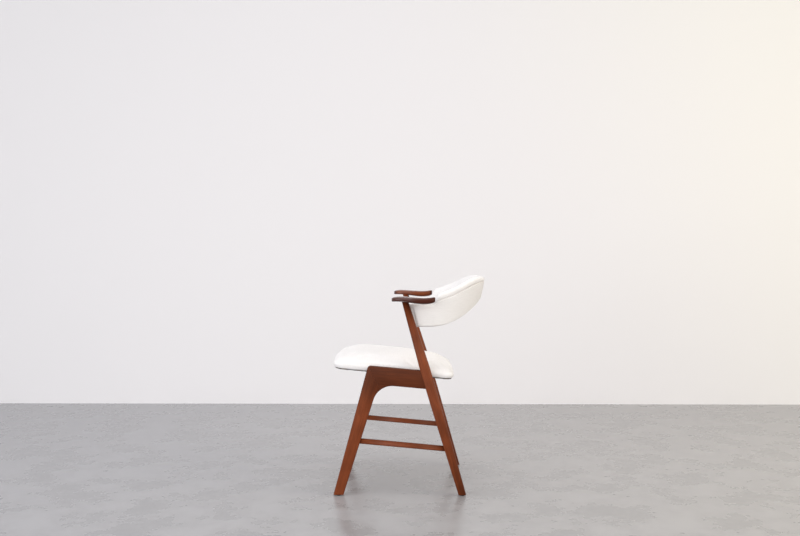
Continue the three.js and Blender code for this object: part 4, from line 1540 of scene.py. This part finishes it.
@dataclass
class Back:
    """The wrap-around back: padded shell, rolled top edge and an outer panel inside a seam."""

    curve: BackCurve = field(default_factory=BackCurve)
    shell_depth: float = 11.8 * MM
    wing_pad: float = 14 * MM
    centre_pad: float = 27 * MM
    bulge: float = 3 * MM
    top_round: float = 14 * MM
    bottom_round: float = 10 * MM
    end_round: float = 16 * MM
    end_pad: float = 0.4
    roll: float = 17 * MM
    wing_roll: float = 6 * MM
    panel_from_end: float = 29.5 * MM
    panel_recess: float = 4.2 * MM
    recess_ahead: float = 1 * MM
    recess_run: float = 4 * MM
    panel_lip: float = 3 * MM
    panel_back: float = 3.9 * MM
    panel_edge: float = 3.2 * MM
    panel_rise: float = 3.6 * MM
    panel_crown: float = 1.2 * MM
    panel_end_rise: float = 0.25
    top_fill: float = 7 * MM
    fill_loss: float = 0.6
    fill_fade: Pair = (0.6, 0.3)
    held_depth: float = 2.5 * MM
    seam_outside: float = 9 * MM
    seam_depth: float = 1.7 * MM
    seam_width: float = 2.2 * MM
    under_panel: float = 2 * MM
    under_roll: float = 4 * MM
    stitch_sink: float = 0.5 * MM
    seam: Arches = Arches(
        5.2 * MM, 3.4 * MM, 0.55 * MM, 0.22 * MM, slant=0.5, unevenness=0.2, seed=11
    )
    stations: int = 170

    def both_sides(self, first_share: float, section: Callable) -> tuple[Array, Array]:
        """Rings and cloth coordinates from the wing at +X round to the wing at -X.

        Args:
            first_share: Where the wings end.
            section: Gives outward distances, heights and girths at an array of shares.

        Returns:
            The rings and their charts.
        """
        half = np.linspace(first_share, 1.0, self.stations)
        depth, z, girth = section(half)
        rings = self.curve.point(half[:, None] + 0 * z, z, depth)
        charts = np.stack([half[:, None] * self.curve.length + 0 * z, girth], axis=-1)
        return mirrored(rings), mirrored(charts, self.curve.length)

    def depth_at(self, share: Array) -> Array:
        """Thickness of shell and pad together.

        Args:
            share: Shares of the way from the wing's end to the middle.

        Returns:
            Thicknesses.
        """
        end = quarter_round(share * self.curve.length / self.end_round)
        thinned = self.end_pad + (1 - self.end_pad) * end
        pad = self.wing_pad + (self.centre_pad - self.wing_pad) * ease(share)
        return pad * thinned + self.shell_depth

    def panel_top(self, share: Array) -> Array:
        """Upper edge of the outer panel, under the roll, which is thin beside the armrest."""
        roll = self.wing_roll + (self.roll - self.wing_roll) * self.curve.past_armrest(share)
        return self.curve.edges(share)[1] - roll

    def turned_in(self, share: Array, z: Array) -> Array:
        """How far the roll turns the outer face inwards at a height.

        Args:
            share: Shares of the way from the wing's end to the middle.
            z: Heights.

        Returns:
            Distances into the back.
        """
        top = self.curve.edges(share)[1]
        climb = np.clip((z - (top - self.top_round)) / self.top_round, 0.0, 1.0)
        return self.depth_at(share) / 2 * (1 - np.sqrt(1 - climb**2))

    def recess_at(self, share: Array) -> Array:
        """How deep the pad lies behind the panel; nothing ahead of the panel's front seam."""
        from_end = share * self.curve.length - self.panel_from_end
        return self.panel_recess * ease((from_end + self.recess_ahead) / self.recess_run)

    def pad_section(self, share: Array) -> tuple[Array, Array, Array]:
        """Outline of the pad: up the inner face, over the roll and down behind the panel.

        Args:
            share: Shares of the way from the wing's end to the middle.

        Returns:
            Outward distances, heights and girths, as shares x points round.
        """
        share = share[:, None]
        bottom, top = self.curve.edges(share)
        seam_top = top
        start, length = self.fill_fade
        fill = self.top_fill * (1 - self.fill_loss * ease((share - start) / length))
        top = top + fill * self.curve.past_armrest(share)
        depth = self.depth_at(share)
        shoulder = top - self.top_round
        turn = np.linspace(0.0, np.pi / 2, 6)[None, :]
        low_depth = -depth + self.bottom_round * (1 - np.sin(turn))
        low_z = bottom + self.bottom_round * (1 - np.cos(turn))
        rise = np.linspace(0.0, 1.0, 24)[None, 1:]
        face_depth = -depth - self.bulge * np.sin(np.pi * rise)
        face_z = bottom + self.bottom_round + (shoulder - bottom - self.bottom_round) * rise
        over = np.linspace(np.pi, 0.0, 22)[None, 1:]
        roll_depth = -depth / 2 * (1 - np.cos(over))
        roll_z = shoulder + self.top_round * np.sin(over)
        recess = self.recess_at(share)
        drop = np.linspace(0.0, 1.0, 5)[None, 1:]
        seam_z = shoulder + (seam_top - self.roll - self.under_roll - shoulder) * drop
        inner_z = seam_z[:, -1:] + (bottom - seam_z[:, -1:]) * np.linspace(0.0, 1.0, 11)[None, 1:]
        inner_depth = -recess * np.ones((1, 10))
        depths = np.hstack([low_depth, face_depth, roll_depth, -recess * drop**2, inner_depth])
        heights = np.hstack([low_z, face_z, roll_z, seam_z, inner_z])
        steps = np.hypot(np.diff(depths, axis=1), np.diff(heights, axis=1))
        girth = np.hstack([0 * share, np.cumsum(steps, axis=1)])
        return depths, heights, girth

    def panel_section(self, share: Array) -> tuple[Array, Array, Array]:
        """Outline of the outer panel: a thin padded plate whose edges dive into the seam.

        Args:
            share: Shares of the way from the wing's end to the middle.

        Returns:
            Outward distances, heights and girths, as shares x points round.
        """
        share = share[:, None]
        bottom = self.curve.edges(share)[0] + self.under_panel
        high = self.panel_top(share)
        from_end = share * self.curve.length - self.panel_from_end
        end = quarter_round(from_end / self.panel_lip)
        rise = np.linspace(0.0, 1.0, 44)[None, :]
        rise = 0.5 - 0.5 * np.cos(np.pi * rise)
        face_z = bottom + (high - bottom) * rise
        lip = quarter_round(np.minimum(rise, 1 - rise) * (high - bottom) / self.panel_lip)
        lip = lip * (self.panel_end_rise + (1 - self.panel_end_rise) * end)
        crown = self.panel_crown * np.sin(np.pi * rise) ** 0.7 * end
        face = -self.panel_edge + self.panel_rise * lip + crown - self.turned_in(share, face_z)
        rear_z = high + (bottom - high) * np.linspace(0.0, 1.0, 10)[None, :]
        rear = -self.panel_back - self.turned_in(share, rear_z)
        depths = np.hstack([rear[:, ::-1], face[:, ::-1]])
        heights = np.hstack([rear_z[:, ::-1], face_z[:, ::-1]])
        return depths, heights, heights - self.curve.wing_bottom

    def held(self, points: Array) -> Array:
        """Which points of the pad the shell and the panel hold: those on the shell's outer side."""
        return self.charted(points)[0] > -self.panel_recess - self.held_depth

    def seamed(self, points: Array) -> Array:
        """Draws the pad in along the seams round the outer panel.

        Args:
            points: Points of the pad.

        Returns:
            The moved points.
        """
        reach, along, out = self.charted(points)
        z = points[:, 2]
        from_end = along - self.curve.slant(along / self.curve.length, z)
        share = np.clip(from_end / self.curve.length, 0.0, 1.0)
        over_top = z - self.panel_top(share)
        before = self.panel_from_end - from_end
        groove = bump_at(np.maximum(over_top, before), self.seam_width)
        outside = ease((reach + self.seam_outside) / (4 * MM))
        return points - out * (self.seam_depth * groove * outside)[:, None]

    def charted(self, points: Array) -> tuple[Array, Array, Array]:
        """Where points lie against the outer face.

        Args:
            points: Points near the back.

        Returns:
            Distance out of the outer face, distance along its course and the level way out.
        """
        course = self.curve.course
        flat = np.c_[np.abs(points[:, 0]), points[:, 1]]
        nearest = np.concatenate([
            np.linalg.norm(part[:, None] - course[None], axis=2).argmin(axis=1)
            for part in np.split(flat, range(CHUNK, len(flat), CHUNK))
        ])
        last = len(course) - 1
        heading = course[np.minimum(nearest + 1, last)] - course[np.maximum(nearest - 1, 0)]
        heading /= np.linalg.norm(heading, axis=1, keepdims=True)
        offset = flat - course[nearest]
        along = self.curve.distance[nearest]
        lean = self.curve.lean_slope * ease(along / self.curve.length)
        reach = offset[:, 0] * heading[:, 1] - offset[:, 1] * heading[:, 0]
        reach -= (points[:, 2] - self.curve.centre_bottom) * lean
        out = np.c_[heading[:, 1] * np.sign(points[:, 0]), -heading[:, 0], 0 * along]
        return reach, along, out

    def stitched(self, shop: Workshop) -> Piece:
        """Slip stitches that close the seam round the outer panel.

        Args:
            shop: The workshop with the materials.

        Returns:
            The stitches as one mesh object.
        """
        first = self.panel_from_end / self.curve.length
        half = np.linspace(first, 1.0, 160)
        bottom = self.curve.edges(half)[0]
        top = self.panel_top(half)
        climb = np.linspace(0.0, 1.0, 24)[1:-1]
        front_z = bottom[0] + (top[0] - bottom[0]) * climb
        share = np.concatenate([np.full(len(climb), first), half])
        z = np.concatenate([front_z, top])
        proud = -self.stitch_sink - self.turned_in(share, z)
        right = self.curve.point(share, z, proud)
        outer = self.curve.point(share, z, proud + 1 * MM) - right
        path, out = mirrored(right), mirrored(outer)
        return self.seam.along("back_seam_stitches", path, out, False, Finish.THREAD, shop)

    def build(self, shop: Workshop) -> None:
        """Makes the pad, the outer panel and its stitches, and dresses the shell inside.

        Args:
            shop: The workshop with the materials.
        """
        rings, charts = self.both_sides(0.0, self.pad_section)
        pad = link("back_cushion_wool", loft("back_cushion_wool", rings, charts))
        Stuffing(voxel=4 * MM, most=3 * MM).fill(pad, self.held)
        subdivide(pad)
        move_points(pad.data, self.seamed(points_of(pad.data)))
        smooth(pad.data, 70.0)
        shop.deliver(pad, Finish.WOOL, ["back_cushion"])
        first = self.panel_from_end / self.curve.length
        rings, charts = self.both_sides(first, self.panel_section)
        panel = link("back_panel_wool", loft("back_panel_wool", rings, charts))
        smooth(panel.data, 60.0)
        shop.deliver(panel, Finish.WOOL, ["back_outer_panel"])
        shop.deliver(self.stitched(shop), Finish.THREAD)
        shop.dress_node("back_shell", Finish.PLYWOOD)


# ------------------------------------------------------------------ studio
@dataclass(frozen=True)
class Lamp:
    """A square area lamp that faces the middle of the chair, with its spread in degrees."""

    name: str
    place: Point
    size: float
    power: float
    tone: Rgb
    spread: float = 180.0

    def hang(self, aim: Point) -> None:
        """Adds the lamp to the scene, turned to a point.

        Args:
            aim: The point that it faces.
        """
        data = bpy.data.lights.new(self.name, "AREA")
        data.shape = "SQUARE"
        data.size = self.size
        data.energy = self.power
        data.color = self.tone
        data.spread = math.radians(self.spread)
        made = link(self.name, data)
        made.location = self.place
        face(made, Vector(aim) - Vector(self.place))


def face(lens: Piece, heading: Vector) -> None:
    """Turns a lamp or a camera to a heading, upright."""
    lens.rotation_euler = heading.to_track_quat("-Z", "Y").to_euler()


LAMPS = (
    Lamp("key", (3.2, -2.9, 1.2), 2.4, 68.0, (0.98, 0.98, 1.0)),
    Lamp("front", (4.4, -0.8, 1.15), 3.0, 33.0, (1.0, 0.985, 0.985)),
    Lamp("side", (1.4, 3.4, 1.9), 2.4, 56.0, (1.0, 0.885, 0.70)),
    Lamp("top", (0.5, -0.4, 4.2), 2.6, 8.0, (1.0, 0.985, 0.98), 75.0),
)


@dataclass
class Studio:
    """A pale floor, a pale wall, soft lamps and the camera."""

    middle: Point = (0.0, 0.0, 0.45)
    camera_place: Point = (3.649, 0.0039, 0.852)
    camera_pitch: float = -1.335
    camera_yaw: float = 0.62
    focal_widths: float = 1010 / 800
    sensor: float = 36.0
    wall_x: float = -1.73
    wall_reach: float = 9.0
    wall_height: float = 6.0
    floor_reach: float = 14.0
    floor_tone: Rgb = (0.344, 0.343, 0.353)
    floor_clouds: float = 0.13
    wall_tone: Rgb = (0.900, 0.884, 0.899)
    # Painted warm light on the wall, towards +Y and upwards.
    wall_warm: Rgb = (0.955, 0.94, 0.90)
    warm_span: Pair = (0.8, 3.4)
    world_tone: Rgb = (0.93, 0.94, 0.96)
    world_strength: float = 0.755

    def sheet(self, name: str, corners: Iterable[Point], material: Material) -> None:
        """A flat sheet of the stage through four corners.

        Args:
            name: The sheet's name.
            corners: Its four corners in order.
            material: Its material.
        """
        mesh = bpy.data.meshes.new(name)
        mesh.from_pydata(list(corners), [], [(0, 1, 2, 3)])
        made = link(name, mesh)
        mesh.materials.append(material)

    def floor_material(self) -> Material:
        """Smooth, faintly clouded concrete with a soft gloss, and painted cool and warm light
        across it.

        Returns:
            The material.
        """
        material, w, shader = new_material("pale_floor")
        place = w.own_place()
        cloud = w.noise(place, scale=5.5, detail=5.0, rough=0.62)
        dark = scaled(self.floor_tone, 1 - self.floor_clouds)
        light = scaled(self.floor_tone, 1 + self.floor_clouds)
        base = w.blend(w.span(cloud, 0.35, 0.65), dark, light)
        # Painted light: cool towards -Y and warm towards +Y, as the lamps fall on the floor.
        to_rear = w.span(w.split(place)[1], -1.5, 1.5)
        painted_cool_warm_light = w.blend(to_rear, (0.985, 0.985, 1.0), (1.03, 1.01, 0.975))
        w.fill(shader, {
            "Base Color": w.blend(1.0, base, painted_cool_warm_light, "MULTIPLY"),
            "Roughness": w.span(cloud, 0.3, 0.7, 0.22, 0.36),
            "Specular IOR Level": 0.4,
        })
        return material

    def wall_material(self) -> Material:
        """A matt wall with painted warm light, only there for what looks at its front.

        Returns:
            The material.
        """
        material, w, shader = new_material("pale_wall")
        _, y, z = w.split(w.own_place())
        # Painted light: the wall turns warmer and lighter towards +Y and upwards.
        toward = w.math("MULTIPLY_ADD", z, 0.5, y)
        tone = w.blend(w.span(toward, *self.warm_span), self.wall_tone, self.wall_warm)
        w.fill(shader, {"Base Color": tone, "Roughness": 0.9})
        surface = material.node_tree.nodes["Material Output"].inputs["Surface"]
        away = w.node("ShaderNodeNewGeometry").outputs["Backfacing"]
        clear = w.node("ShaderNodeBsdfTransparent").outputs[0]
        mix = w.node("ShaderNodeMixShader", {0: away, 1: surface.links[0].from_socket, 2: clear})
        w.feed(surface, mix.outputs[0])
        return material

    def world(self) -> None:
        """An even pale surround."""
        world = bpy.data.worlds.new("studio")
        world.use_nodes = True
        background = world.node_tree.nodes["Background"].inputs
        background["Color"].default_value = colour(self.world_tone)
        background["Strength"].default_value = self.world_strength
        bpy.context.scene.world = world

    def camera(self) -> None:
        """The camera, a little above the chair's top and a long way off."""
        data = bpy.data.cameras.new("camera")
        data.sensor_width = self.sensor
        data.lens = self.sensor * self.focal_widths
        made = link("camera", data)
        pitch, yaw = math.radians(self.camera_pitch), math.radians(self.camera_yaw)
        level = math.cos(pitch)
        made.location = self.camera_place
        face(made, Vector((-math.cos(yaw) * level, -math.sin(yaw) * level, math.sin(pitch))))
        bpy.context.scene.camera = made

    def build(self) -> None:
        """Sets up stage, lamps, world and camera."""
        far, x = self.floor_reach, self.wall_x
        self.sheet(
            "floor", [(-far, -far, 0.0), (far, -far, 0.0), (far, far, 0.0), (-far, far, 0.0)],
            self.floor_material(),
        )
        far, top = self.wall_reach, self.wall_height
        self.sheet(
            "wall", [(x, -far, 0.0), (x, far, 0.0), (x, far, top), (x, -far, top)],
            self.wall_material(),
        )
        for lamp in LAMPS:
            lamp.hang(self.middle)
        self.world()
        self.camera()
        bpy.context.scene.view_settings.view_transform = "Standard"


def main() -> None:
    """Builds the studio and the chair, in order."""
    logging.basicConfig(level=logging.INFO, format="%(name)s: %(message)s")
    Studio().build()
    shop = Workshop()
    for side in Side:
        SideFrame(side).build(shop)
        Armrest(side).build(shop)
    Seat().build(shop)
    Back().build(shop)


if __name__ == "__main__":
    main()
